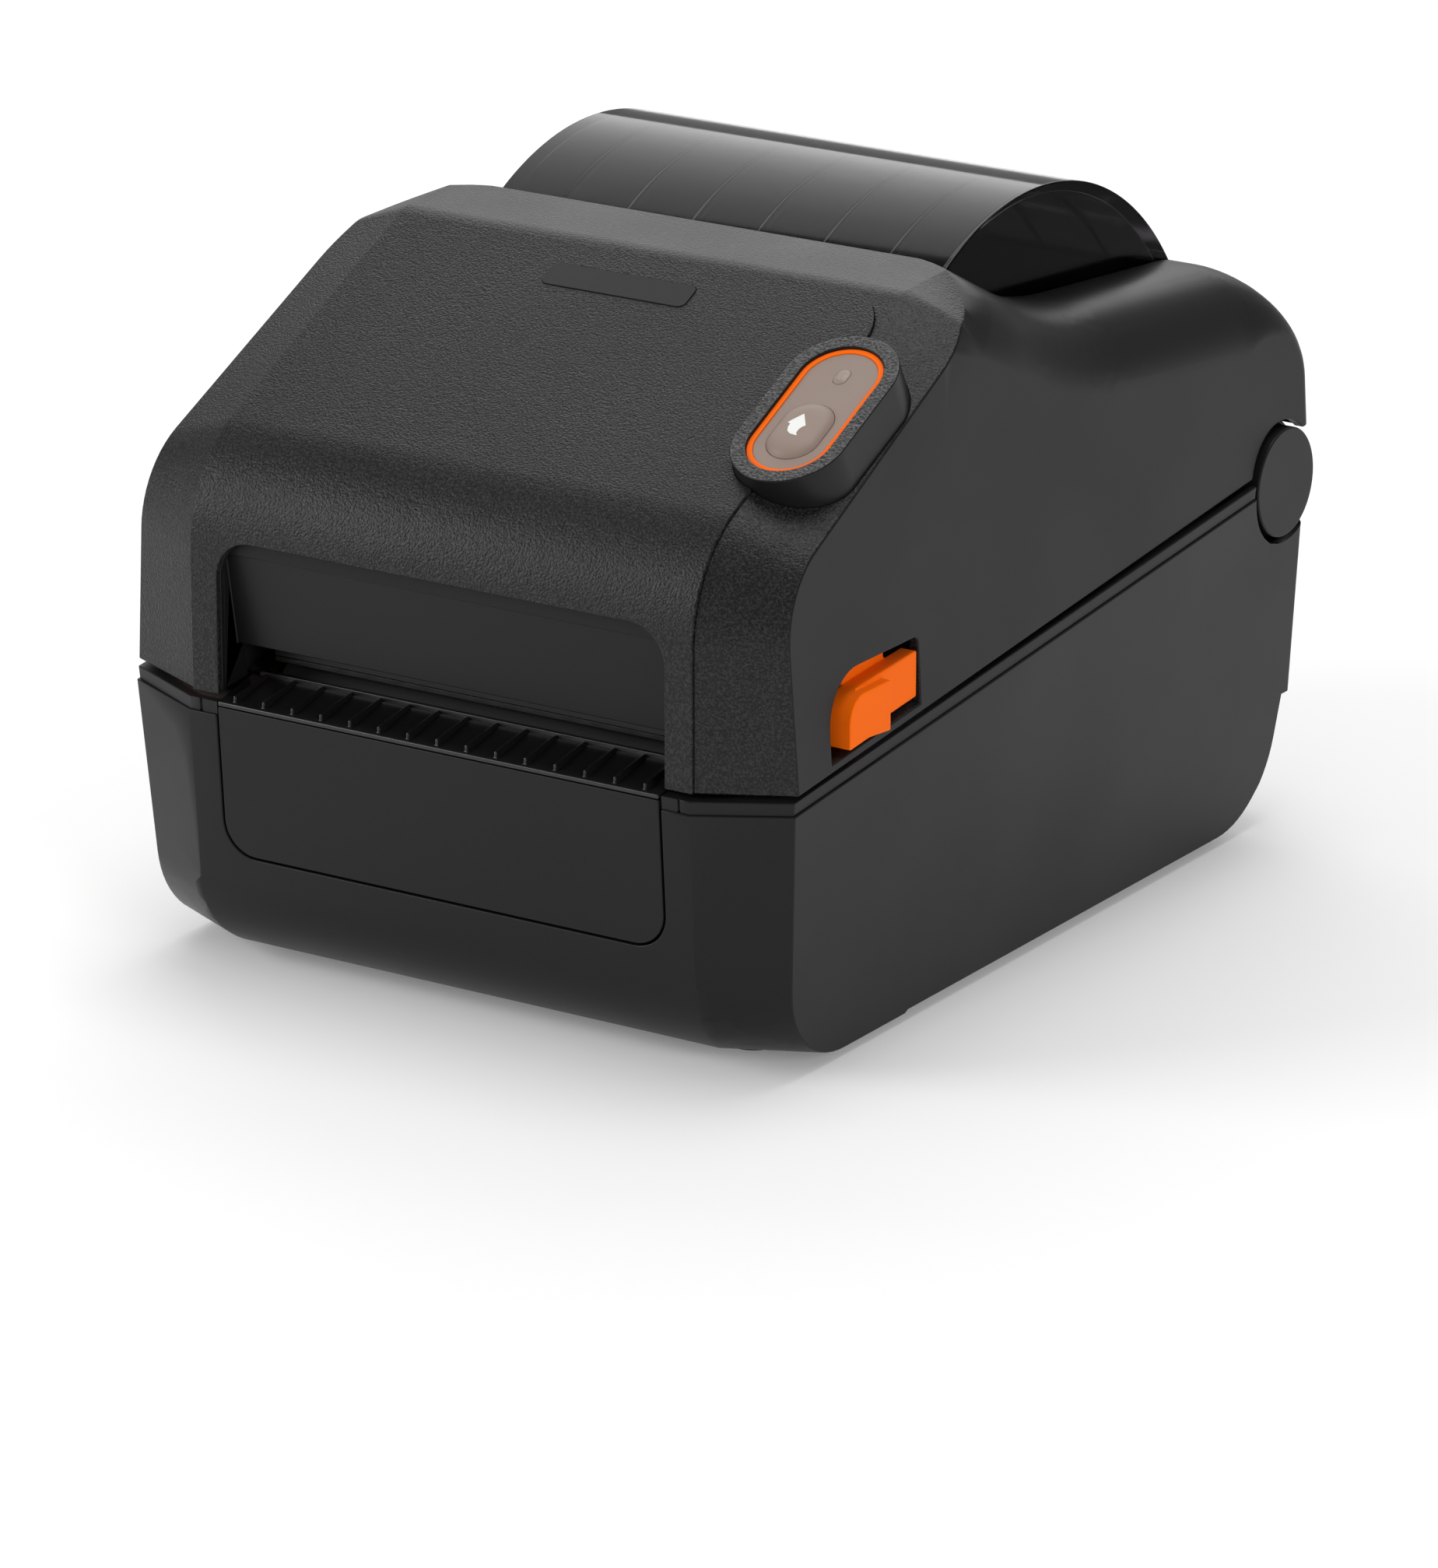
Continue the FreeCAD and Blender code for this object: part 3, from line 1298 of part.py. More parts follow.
def build_latch():
    """Latch levers with their hooks, on one shaft across the cover."""
    inner = LATCH_INNER
    hub_width = "%s - %s" % (LATCH_OUTER, LATCH_INNER)
    hub = rod("hub", "X", (inner, "latch_y", "latch_z"), hub_width, "latch_hub_radius")
    nose_top = "(%s - slide_fit)" % parting(CATCH_Y, RIM_FOOT)
    front = "latch_y - latch_stem / 2"
    rear = "latch_y + latch_stem / 2"
    hook = prism("hook", "YZ", inner, inner + " + latch_arm_width", [
        (front, nose_top + " - latch_nose"),
        (CATCH_Y + " + latch_bite / 2", nose_top + " - latch_nose / 2"),
        (CATCH_Y + " + latch_bite / 2", nose_top),
        (rear, nose_top),
        (rear, "latch_z"),
        (front, "latch_z"),
    ])
    root = "latch_plate_top - latch_hub_radius"
    arm = prism("lever_arm", "YZ", LATCH_OUTER + " - latch_arm_width", LATCH_OUTER, [
        ("latch_front + latch_hub_radius", root),
        ("latch_rear - latch_hub_radius", root),
        ("latch_y + latch_hub_radius", "latch_z"),
        ("latch_y - latch_hub_radius", "latch_z"),
    ])
    plate = prism("lever_plate", "YZ", LATCH_OUTER, side("latch_plate_top", "latch_y"), [
        ("latch_plate_front", parting("latch_plate_front", "latch_plate_lift")),
        ("latch_rear", parting("latch_rear", "latch_plate_lift")),
        ("latch_rear", "latch_plate_top"),
        ("latch_plate_front", "latch_plate_top - latch_plate_fall", "latch_plate_round"),
    ])
    face = side("latch_grip_top", "latch_y") + " + latch_grip_proud"
    skin = side("latch_grip_bottom", "latch_grip_rear") + " + slide_fit"
    upper = [("latch_grip_rear", "latch_grip_top"), ("latch_front", "latch_grip_top", "latch_grip_round")]
    grip = prism("lever_grip", "YZ", LATCH_OUTER, face, [
        ("latch_front", parting("latch_front", "latch_plate_lift")),
        ("latch_grip_rear", parting("latch_grip_rear", "latch_plate_lift")),
    ] + upper)
    lip = prism("lever_lip", "YZ", skin, face, [
        ("latch_front", "latch_grip_bottom"),
        ("latch_grip_rear", "latch_grip_heel"),
    ] + upper)
    lever = fuse("lever_solid", hub, hook, arm, plate, grip, lip)
    bore = rod("hub_bore", "X", ("0", "latch_y", "latch_z"), "case_width", "latch_shaft_radius")
    right = keep("latch_lever_right", cut("latch_lever_right", lever, bore))
    keep("latch_lever_left", mirrored("latch_lever_left", right))
    shaft_end = ("-" + LATCH_OUTER, "latch_y", "latch_z")
    keep("latch_shaft", rod("latch_shaft", "X", shaft_end, "2 * " + LATCH_OUTER, "latch_shaft_radius"))


STRIP_Z = "(platen_z + platen_radius + paper_gap)"
SINK_Z = "(%s + head_strip_thickness)" % STRIP_Z
CARRIER_Z = "(%s + sink_thickness)" % SINK_Z
CARRIER_TOP = "(%s + carrier_thickness)" % CARRIER_Z


def build_head():
    """Print head, heat sink and carrier, with the mount, pivot pin and springs that press it down."""
    half = "head_width / 2"
    strip_rear = "head_front + head_strip_depth"
    keep("print_head", block("print_head", ("-" + half, "head_front", STRIP_Z), (half, strip_rear, SINK_Z)))
    keep("heat_sink", block("heat_sink", ("-" + half, "head_front", SINK_Z), (half, "head_rear", CARRIER_Z)))
    wide = "carrier_width / 2"
    plate = block("carrier_plate", ("-" + wide, "head_front", CARRIER_Z), (wide, "carrier_rear", CARRIER_TOP))
    tab = block("carrier_tab", (wide + " - carrier_thickness", "pivot_y - 2 * pivot_radius", CARRIER_Z),
                (wide, "carrier_rear", "pivot_z + 2 * pivot_radius"))
    pin_line = ("-" + MOUNT_HALF, "pivot_y", "pivot_z")
    bore = rod("carrier_bore", "X", pin_line, MOUNT_WIDTH, "pivot_radius + running_fit")
    carrier = fuse("carrier_solid", plate, both_sides("carrier_tabs", tab))
    keep("head_carrier", cut("head_carrier", carrier, bore))
    keep("head_pivot", rod("head_pivot", "X", pin_line, MOUNT_WIDTH, "pivot_radius"))
    top = block("mount_plate", ("-" + MOUNT_HALF, "mount_front", "mount_top - mount_sheet"),
                (MOUNT_HALF, "mount_rear", "mount_top"))
    cheek = block("mount_cheek", (MOUNT_HALF + " - mount_sheet", "cheek_front", "cheek_bottom"),
                  (MOUNT_HALF, "mount_rear", "mount_top"))
    mount = fuse("mount_solid", top, both_sides("mount_cheeks", cheek))
    shaft_bore = rod("shaft_bore", "X", ("-case_width", "latch_y", "latch_z"), "2 * case_width",
                     "latch_shaft_radius + running_fit")
    pivot_hole = rod("pivot_hole", "X", pin_line, MOUNT_WIDTH, "pivot_radius")
    keep("head_mount", cut("head_mount", mount, shaft_bore, pivot_hole))
    length = "mount_top - mount_sheet - %s" % CARRIER_TOP
    springs = []
    for index, x in enumerate(("-spring_x", "spring_x")):
        start = (x, "spring_y", CARRIER_TOP)
        coil = rod("spring_outer%d" % index, "Z", start, length, "spring_radius")
        core = rod("spring_inner%d" % index, "Z", start, length, "spring_radius - spring_wire")
        springs.append(cut("spring%d" % index, coil, core))
    keep("head_springs", group("head_springs", *springs))


def involute_wire(teeth, module, phase):
    """Outline of a spur gear in the XY plane with a tooth centred at a phase angle."""
    pitch = module * teeth / 2
    pressure = math.radians(value("gear_pressure"))
    base = pitch * math.cos(pressure)
    tip = pitch + value("gear_addendum") * module
    root = pitch - module
    spread = math.tan(pressure) - pressure

    def flank(radius):
        ratio = min(1.0, base / radius)
        angle = math.acos(ratio)
        return math.pi / (2 * teeth) + spread - (math.tan(angle) - angle)

    def point(radius, angle):
        return Vector(radius * math.cos(angle), radius * math.sin(angle), 0)

    start = max(root, base)
    middle_radius = (start + tip) / 2
    edges = []
    pitch_angle = 2 * math.pi / teeth
    for tooth in range(teeth):
        centre = phase + tooth * pitch_angle
        foot, half, top = (flank(radius) for radius in (start, middle_radius, tip))
        stations = ((root, foot), (start, foot), (middle_radius, half), (tip, top))
        rise = [point(radius, centre - angle) for radius, angle in stations]
        fall = [point(radius, centre + angle) for radius, angle in reversed(stations)]
        if start > root:
            edges.append(Part.makeLine(rise[0], rise[1]))
        edges.append(Part.Arc(rise[1], rise[2], rise[3]).toShape())
        edges.append(Part.makeLine(rise[3], fall[0]))
        edges.append(Part.Arc(fall[0], fall[1], fall[2]).toShape())
        if start > root:
            edges.append(Part.makeLine(fall[2], fall[3]))
        edges.append(Part.makeLine(fall[3], point(root, centre + pitch_angle - foot)))
    return Part.Wire(edges)


def gear(name, teeth, phase, width):
    """A toothed wheel about the Z axis, one face on the XY plane."""
    wheel = add("Part::Feature", name)
    wire = involute_wire(int(value(teeth)), value("gear_module"), phase)
    wheel.Shape = Part.Face(wire).extrude(Vector(0, 0, value(width)))
    return wheel


ALONG_X = FreeCAD.Rotation(Vector(0, 1, 0), Vector(0, 0, 1), Vector(1, 0, 0), "XYZ")
IDLER_REACH = "(gear_module * (platen_teeth + idler_teeth) / 2 + mesh_slack)"
MOTOR_REACH = "(gear_module * (idler_teeth + pinion_teeth) / 2 + mesh_slack)"
IDLER_Y = "(platen_y + %s * cos(idler_angle))" % IDLER_REACH
IDLER_Z = "(platen_z + %s * sin(idler_angle))" % IDLER_REACH
MOTOR_Y = "(%s + %s * cos(motor_angle))" % (IDLER_Y, MOTOR_REACH)
MOTOR_Z = "(%s + %s * sin(motor_angle))" % (IDLER_Z, MOTOR_REACH)
BRACKET_X = "(gear_x + gear_width + gear_module / 2)"
MOTOR_X = "(%s + bracket_thickness)" % BRACKET_X


def bored(name, solid, start, length, radius):
    """A solid with a bore along X."""
    return cut(name, solid, rod(name + "_bore", "X", start, length, radius))


def build_platen():
    """Platen shaft, its rubber and the bushes that it turns in."""
    line = ("platen_y", "platen_z")
    keep("platen_shaft", rod("platen_shaft", "X", ("gear_x",) + line, "platen_right_end - gear_x",
                             "platen_shaft_radius"))
    start = ("-platen_length / 2",) + line
    rubber = rod("rubber_solid", "X", start, "platen_length", "platen_radius")
    keep("platen_rubber", bored("platen_rubber", rubber, start, "platen_length", "platen_shaft_radius"))
    start = ("bush_x",) + line
    solid = rod("bush_solid", "X", start, "bush_width", "bush_radius")
    bush = bored("bush", solid, start, "bush_width", "platen_shaft_radius + running_fit")
    keep("platen_bushes", group("platen_bushes", bush, mirrored("bush_left", bush)))


def build_drive():
    """Gear train from the motor to the platen, with the motor and its bracket."""
    to_idler = math.radians(value("idler_angle"))
    to_motor = math.radians(value("motor_angle"))
    idler_pitch = 2 * math.pi / value("idler_teeth")
    idler_phase = to_idler + math.pi + idler_pitch / 2
    lag = (to_motor - idler_phase) % idler_pitch
    pinion_turn = lag * value("idler_teeth / pinion_teeth") + math.pi / value("pinion_teeth")
    platen_spot = ("gear_x", "platen_y", "platen_z")
    idler_spot = ("gear_x", IDLER_Y, IDLER_Z)
    motor_spot = ("gear_x", MOTOR_Y, MOTOR_Z)
    wheel = gear("platen_wheel", "platen_teeth", to_idler, "gear_width")
    place(wheel, *platen_spot, rotation=ALONG_X)
    keep("platen_gear", bored("platen_gear", wheel, platen_spot, "gear_width", "platen_shaft_radius"))
    wheel = gear("idler_wheel", "idler_teeth", idler_phase, "gear_width")
    place(wheel, *idler_spot, rotation=ALONG_X)
    keep("idler_gear", bored("idler_gear", wheel, idler_spot, "gear_width", "idler_post_radius + running_fit"))
    wheel = gear("pinion_wheel", "pinion_teeth", to_motor + math.pi + pinion_turn, "gear_width")
    place(wheel, *motor_spot, rotation=ALONG_X)
    stem = rod("pinion_stem", "X", motor_spot, "%s + motor_depth / 2 - gear_x" % MOTOR_X, "motor_shaft_radius")
    keep("motor_pinion", fuse("motor_pinion", wheel, stem))
    plate = prism("bracket_plate", "YZ", BRACKET_X, MOTOR_X, [
        ("bracket_front", FLOOR_TOP),
        ("bracket_rear", FLOOR_TOP),
        ("bracket_rear", "bracket_top"),
        ("bracket_front", "bracket_top"),
    ])
    post = rod("idler_post", "X", idler_spot, "%s - gear_x" % MOTOR_X, "idler_post_radius")
    bracket = fuse("bracket_solid", plate, post)
    hole_start = (BRACKET_X, MOTOR_Y, MOTOR_Z)
    keep("motor_bracket", bored("motor_bracket", bracket, hole_start, "motor_depth", "2 * motor_shaft_radius"))
    half = "motor_size / 2"
    can = prism("motor_can", "YZ", MOTOR_X, MOTOR_X + " + motor_depth", [
        ("%s %s %s" % (MOTOR_Y, across, half), "%s %s %s" % (MOTOR_Z, up, half), "motor_corner")
        for across, up in (("-", "-"), ("+", "-"), ("+", "+"), ("-", "+"))])
    keep("drive_motor", bored("drive_motor", can, (MOTOR_X, MOTOR_Y, MOTOR_Z), "motor_depth / 2 + seat_fit",
                              "motor_shaft_radius + running_fit"))


def rack_teeth(name, away):
    """Straight teeth of a rack, towards the pinion from the side given, with a gap over the pinion's middle."""
    pitch = "(pi * gear_module)"
    foot = "guide_y %s (%s + rack_root * gear_module)" % (away, PITCH_RADIUS)
    point = "guide_y %s (%s - gear_addendum * gear_module)" % (away, PITCH_RADIUS)
    half_tip = "(%s / 4 - gear_addendum * gear_module * tan(gear_pressure))" % pitch
    half_foot = "(%s / 4 + rack_root * gear_module * tan(gear_pressure))" % pitch
    teeth = []
    for index in range(int(value("rack_teeth"))):
        centre = "%s * (%d - rack_lead)" % (pitch, index)
        teeth.append(prism("%s_tooth%d" % (name, index), "XY", "rack_z", "rack_z + rack_height", [
            ("%s - %s" % (centre, half_foot), foot),
            ("%s + %s" % (centre, half_foot), foot),
            ("%s + %s" % (centre, half_tip), point),
            ("%s - %s" % (centre, half_tip), point),
        ]))
    return teeth


def media_guide(name, away):
    """A media guide on the right: rack, neck through the deck, arm, disc and core hub."""
    edges = ["guide_y %s %s" % (away, reach) for reach in (RACK_BACK, RACK_FACE)]
    front, rear = sorted(edges, key=value)
    outer = "guide_inner + guide_sheet"
    bar_top = (outer, rear, "rack_z + rack_height")
    bar = block(name + "_bar", (outer + " - rack_length", front, "rack_z"), bar_top)
    neck_top = (outer, rear, parting(front, "arm_height / 2"))
    neck = block(name + "_neck", ("guide_inner", front, "rack_z"), neck_top)
    lift = "%s + slide_fit" % DECK_TOP
    middle_y = "window_y - guide_disc / 2"
    arm = prism(name + "_arm", "YZ", "guide_inner", outer, [
        (front, parting(front, lift)),
        (middle_y, parting(middle_y, lift)),
        (middle_y, parting("window_y", "arm_height")),
        (front, parting(front, "arm_height")),
    ])
    disc = rod(name + "_disc", "X", ("guide_inner", "window_y", "window_z"), "guide_sheet", "guide_disc")
    hub_start = ("guide_inner - guide_hub_length", "window_y", "window_z")
    hub = rod(name + "_hub", "X", hub_start, "guide_hub_length", "guide_hub")
    return fuse(name, bar, neck, arm, disc, hub, *rack_teeth(name, away))


def build_guides():
    """Media guides on two racks, with the pinion between them."""
    keep("media_guide_right", media_guide("guide_right", "-"))
    keep("media_guide_left", mirrored("guide_left", media_guide("guide_twin", "+")))
    wheel = gear("guide_wheel", "guide_pinion_teeth", -math.pi / 2, "rack_height")
    spot = ("0", "guide_y", "rack_z")
    place(wheel, *spot)
    bore = rod("guide_bore", "Z", spot, "rack_height", "motor_shaft_radius + running_fit")
    keep("guide_pinion", cut("guide_pinion", wheel, bore))


def socket_block(name, x, width, height, low, high):
    """A box about a place on the sockets' line, between two places along Y."""
    return block(name, ("%s - (%s) / 2" % (x, width), low, "socket_z - (%s) / 2" % height),
                 ("%s + (%s) / 2" % (x, width), high, "socket_z + (%s) / 2" % height))


def build_electrics():
    """Boards, sockets and gap sensor."""
    keep("main_board", block("main_board", ("-main_board_width / 2", "main_board_front", BOARD_Z),
                             ("main_board_width / 2", "main_board_rear", BOARD_Z + " + board_thickness")))
    keep("input_board", block("input_board", ("-input_board_half", "input_board_y", "input_board_bottom"),
                              ("input_board_half", INPUT_BACK, "input_board_top")))
    mouth_y = "case_rear + seat_fit"
    usb = socket_block("usb_solid", "usb_x", "usb_width", "usb_height", INPUT_BACK, mouth_y)
    mouth = socket_block("usb_mouth", "usb_x", "usb_mouth_width", "usb_mouth_height",
                         mouth_y + " - usb_mouth_depth", "2 * case_rear")
    keep("usb_socket", cut("usb_socket", usb, mouth))
    jack = socket_block("jack_solid", "jack_x", "jack_width", "jack_height", INPUT_BACK, mouth_y)
    start = ("jack_x", mouth_y + " - jack_mouth_depth", "socket_z")
    bore = rod("jack_mouth", "Y", start, "case_rear", "jack_bore")
    contact = rod("jack_contact", "Y", start, "jack_mouth_depth - seat_fit", "jack_pin")
    keep("power_jack", fuse("power_jack", cut("jack_shell", jack, bore), contact))
    deck = parting("sensor_y", DECK_TOP)
    low = ("-sensor_width / 2", "sensor_y - sensor_depth / 2", deck + " - sensor_height")
    high = ("sensor_width / 2", "sensor_y + sensor_depth / 2", deck + " + slide_fit")
    keep("gap_sensor", block("gap_sensor", low, high))


def build_switch():
    """Power rocker in its frame, tipped to the off side."""
    inner = "case_rear - switch_depth"
    flange_y = "case_rear + switch_flange / 2"
    body = socket_block("switch_body", "switch_x", SWITCH_LENGTH, SWITCH_WIDTH, inner, "case_rear")
    flange = socket_block("switch_flange", "switch_x", SWITCH_LENGTH + " + 2 * switch_flange",
                          SWITCH_WIDTH + " + 2 * switch_flange", "case_rear", flange_y)
    cavity = socket_block("switch_cavity", "switch_x", SWITCH_LENGTH + " - 2 * switch_wall",
                          SWITCH_WIDTH + " - 2 * switch_wall", inner + " + switch_wall", "2 * case_rear")
    half_wide = SWITCH_WIDTH + " / 2"
    pin_y = "(%s - rocker_thickness / 2)" % flange_y
    pin_start = ("switch_x", pin_y, "socket_z - %s + seat_fit" % half_wide)
    pin_length = SWITCH_WIDTH + " - 2 * seat_fit"
    hole = rod("rocker_hole", "Z", pin_start, pin_length, "rocker_pin + running_fit")
    keep("switch_frame", cut("switch_frame", fuse("switch_solid", body, flange), cavity, hole))
    half, thick = "rocker_length / 2", "rocker_thickness / 2"
    rocker = prism("rocker_solid", "XY", "-rocker_width / 2", "rocker_width / 2", [
        ("-" + half, "-" + thick),
        (half, "-" + thick),
        (half, thick),
        ("0", thick + " - rocker_dip"),
        ("-" + half, thick),
    ])
    stub_start = ("0", "0", "seat_fit + running_fit - %s" % half_wide)
    stub = rod("rocker_stub", "Z", stub_start, pin_length + " - 2 * running_fit", "rocker_pin")
    whole = keep("power_rocker", fuse("power_rocker", rocker, stub))
    tilt = FreeCAD.Rotation(Vector(0, 0, 1), -value("rocker_tilt"))
    place(whole, "switch_x", pin_y, "socket_z", rotation=tilt)


def check_and_write():
    """Stop if any object failed, then write each sub-part to its own file."""
    doc.recompute()
    failed = [item.Name for item in doc.Objects if "Invalid" in item.State or "Error" in item.State]
    bad = [node for node, item in pieces.items() if item.Shape.isNull() or not item.Shape.isValid()]
    if failed or bad:
        raise RuntimeError("failed objects %s, bad shapes %s" % (failed, bad))
    os.makedirs("parts", exist_ok=True)
    for node, item in pieces.items():
        item.Shape.exportStep("parts/%s.step" % node)
        print(node, len(item.Shape.Solids), round(item.Shape.Volume))


build_case()
build_exit_guide()
build_frame()
build_hinge()
build_visor(build_cover())
build_pod()
build_latch()
build_head()
build_platen()
build_drive()
build_guides()
build_electrics()
build_switch()
check_and_write()
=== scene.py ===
"""Looks of a desktop label printer: softened shells, moulded finishes, keypad, springs, studio and camera."""
import logging
import math
from collections.abc import Callable
from dataclasses import dataclass, field
from enum import Enum

import bpy
from mathutils import Matrix, Vector


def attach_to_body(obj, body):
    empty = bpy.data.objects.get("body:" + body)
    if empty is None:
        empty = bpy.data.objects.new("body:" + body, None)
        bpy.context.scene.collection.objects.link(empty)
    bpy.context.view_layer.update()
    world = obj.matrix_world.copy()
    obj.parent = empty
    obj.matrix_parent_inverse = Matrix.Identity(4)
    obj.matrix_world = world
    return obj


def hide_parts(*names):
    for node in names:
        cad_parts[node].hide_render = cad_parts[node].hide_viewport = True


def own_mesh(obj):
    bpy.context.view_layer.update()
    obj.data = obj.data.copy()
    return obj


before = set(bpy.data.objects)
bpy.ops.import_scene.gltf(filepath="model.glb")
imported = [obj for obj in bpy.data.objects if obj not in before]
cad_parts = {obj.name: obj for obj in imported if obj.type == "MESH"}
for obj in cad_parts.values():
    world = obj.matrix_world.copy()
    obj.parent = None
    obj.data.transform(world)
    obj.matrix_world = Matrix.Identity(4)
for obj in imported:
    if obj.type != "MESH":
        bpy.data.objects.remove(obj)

LOG = logging.getLogger("label_printer")
MM = 0.001
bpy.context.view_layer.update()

Colour = tuple[float, float, float]
Triple = tuple[float, float, float]
Pairs = tuple[tuple[float, float], ...]
Piece = bpy.types.Object
Face = bpy.types.MeshPolygon
FaceTest = Callable[[Face], bool]
PlaceTest = Callable[[Vector], bool]


class Surface(Enum):
    """How the face of a moulded piece is textured."""

    SATIN = "satin"
    PEBBLED = "pebbled"
    SPARKED = "sparked"


class Sheen(Enum):
    """How a metal piece was worked."""

    TURNED = "turned"
    ROLLED = "rolled"


def new_group(name: str, inputs: dict[str, float], outputs: tuple[str, ...]) -> bpy.types.NodeTree:
    """Start a shader node group with plain number sockets.

    Args:
        name: Name of the group.
        inputs: Input names with their default values.
        outputs: Output names.

    Returns:
        The group, with its input and output nodes named "in" and "out".
    """
    tree = bpy.data.node_groups.new(name, "ShaderNodeTree")
    for label, default in inputs.items():
        socket = tree.interface.new_socket(label, in_out="INPUT", socket_type="NodeSocketFloat")
        socket.default_value = default
    for label in outputs:
        tree.interface.new_socket(label, in_out="OUTPUT", socket_type="NodeSocketFloat")
    tree.nodes.new("NodeGroupInput").name = "in"
    tree.nodes.new("NodeGroupOutput").name = "out"
    return tree


def add_node(tree: bpy.types.NodeTree, kind: str, **settings: object) -> bpy.types.Node:
    """Add a shader node with settings.

    Args:
        tree: The tree that takes the node.
        kind: Blender's name for the node.
        settings: Properties of the node.

    Returns:
        The node.
    """
    node = tree.nodes.new(kind)
    for prop, setting in settings.items():
        setattr(node, prop, setting)
    return node


class Effects:
    """Surface effects that several finishes share, each a node group made once.

    Attributes:
        BLUR: How much the pebbles run into each other.
        DOMES: Weight of the pebbles' domes in the height.
    """

    BLUR = 0.6
    DOMES = -0.8

    def __init__(self) -> None:
        """Build the groups."""
        self.pebble = self._pebble()
        self.mottle = self._mottle()
        self.lines = self._lines()

    def _pebble(self) -> bpy.types.NodeTree:
        """Leather-like pebbles.

        Returns:
            A group that puts out a height and a shade pattern, which the pebbled finishes turn into painted
            shade and painted highlight.
        """
        tree = new_group("pebble_grain", {"Cells": 1500.0, "Warp": 0.35}, ("Height", "Shade"))
        inlet, outlet = tree.nodes["in"], tree.nodes["out"]
        where = add_node(tree, "ShaderNodeTexCoord")
        swirl = add_node(tree, "ShaderNodeTexNoise")
        swirl.inputs["Detail"].default_value = 1.0
        bend = add_node(tree, "ShaderNodeVectorMath", operation="SCALE")
        spread = add_node(tree, "ShaderNodeMath", operation="DIVIDE")
        moved = add_node(tree, "ShaderNodeVectorMath", operation="ADD")
        cells = add_node(tree, "ShaderNodeTexVoronoi", feature="SMOOTH_F1")
        cells.inputs["Smoothness"].default_value = self.BLUR
        fine = add_node(tree, "ShaderNodeTexNoise")
        fine.inputs["Detail"].default_value = 2.0
        mix = add_node(tree, "ShaderNodeMath", operation="MULTIPLY_ADD")
        mix.inputs[1].default_value = self.DOMES
        for source, socket, targets in (
            (where, "Object", ((swirl, "Vector"), (moved, 0))),
            (inlet, "Cells", ((swirl, "Scale"), (spread, 1), (cells, "Scale"), (fine, "Scale"))),
            (inlet, "Warp", ((spread, 0),)),
            (swirl, "Color", ((bend, "Vector"),)),
            (spread, "Value", ((bend, "Scale"),)),
            (bend, "Vector", ((moved, 1),)),
            (moved, "Vector", ((cells, "Vector"), (fine, "Vector"))),
            (cells, "Distance", ((mix, 0),)),
            (fine, "Fac", ((mix, 2), (outlet, "Shade"))),
            (mix, "Value", ((outlet, "Height"),)),
        ):
            for node, target in targets:
                tree.links.new(source.outputs[socket], node.inputs[target])
        return tree

    @staticmethod
    def _mottle() -> bpy.types.NodeTree:
        """Slow drift of tone and gloss, as handling leaves it.

        Returns:
            A group that puts out a slow drift and fine specks, both about one half.
        """
        tree = new_group("handling_mottle", {"Patches": 22.0, "Specks": 900.0}, ("Drift", "Speck"))
        link = tree.links.new
        inlet, outlet = tree.nodes["in"], tree.nodes["out"]
        where = add_node(tree, "ShaderNodeTexCoord")
        for source, detail, target in (("Patches", 4.0, "Drift"), ("Specks", 2.0, "Speck")):
            noise = add_node(tree, "ShaderNodeTexNoise")
            noise.inputs["Detail"].default_value = detail
            link(where.outputs["Object"], noise.inputs["Vector"])
            link(inlet.outputs[source], noise.inputs["Scale"])
            link(noise.outputs["Fac"], outlet.inputs[target])
        return tree

    @staticmethod
    def _lines() -> bpy.types.NodeTree:
        """Fine lines along X, as turning or rolling leaves them.

        Returns:
            A group that puts out a line pattern.
        """
        tree = new_group("work_lines", {"Along": 30.0, "Across": 3000.0}, ("Line",))
        link = tree.links.new
        inlet, outlet = tree.nodes["in"], tree.nodes["out"]
        where = add_node(tree, "ShaderNodeTexCoord")
        split = add_node(tree, "ShaderNodeSeparateXYZ")
        join = add_node(tree, "ShaderNodeCombineXYZ")
        link(where.outputs["Object"], split.inputs["Vector"])
        for axis, source in (("X", "Along"), ("Y", "Across"), ("Z", "Across")):
            stretch = add_node(tree, "ShaderNodeMath", operation="MULTIPLY")
            link(split.outputs[axis], stretch.inputs[0])
            link(inlet.outputs[source], stretch.inputs[1])
            link(stretch.outputs["Value"], join.inputs[axis])
        noise = add_node(tree, "ShaderNodeTexNoise")
        noise.inputs["Scale"].default_value = 1.0
        noise.inputs["Detail"].default_value = 2.0
        link(join.outputs["Vector"], noise.inputs["Vector"])
        link(noise.outputs["Fac"], outlet.inputs["Line"])
        return tree


EFFECTS = Effects()


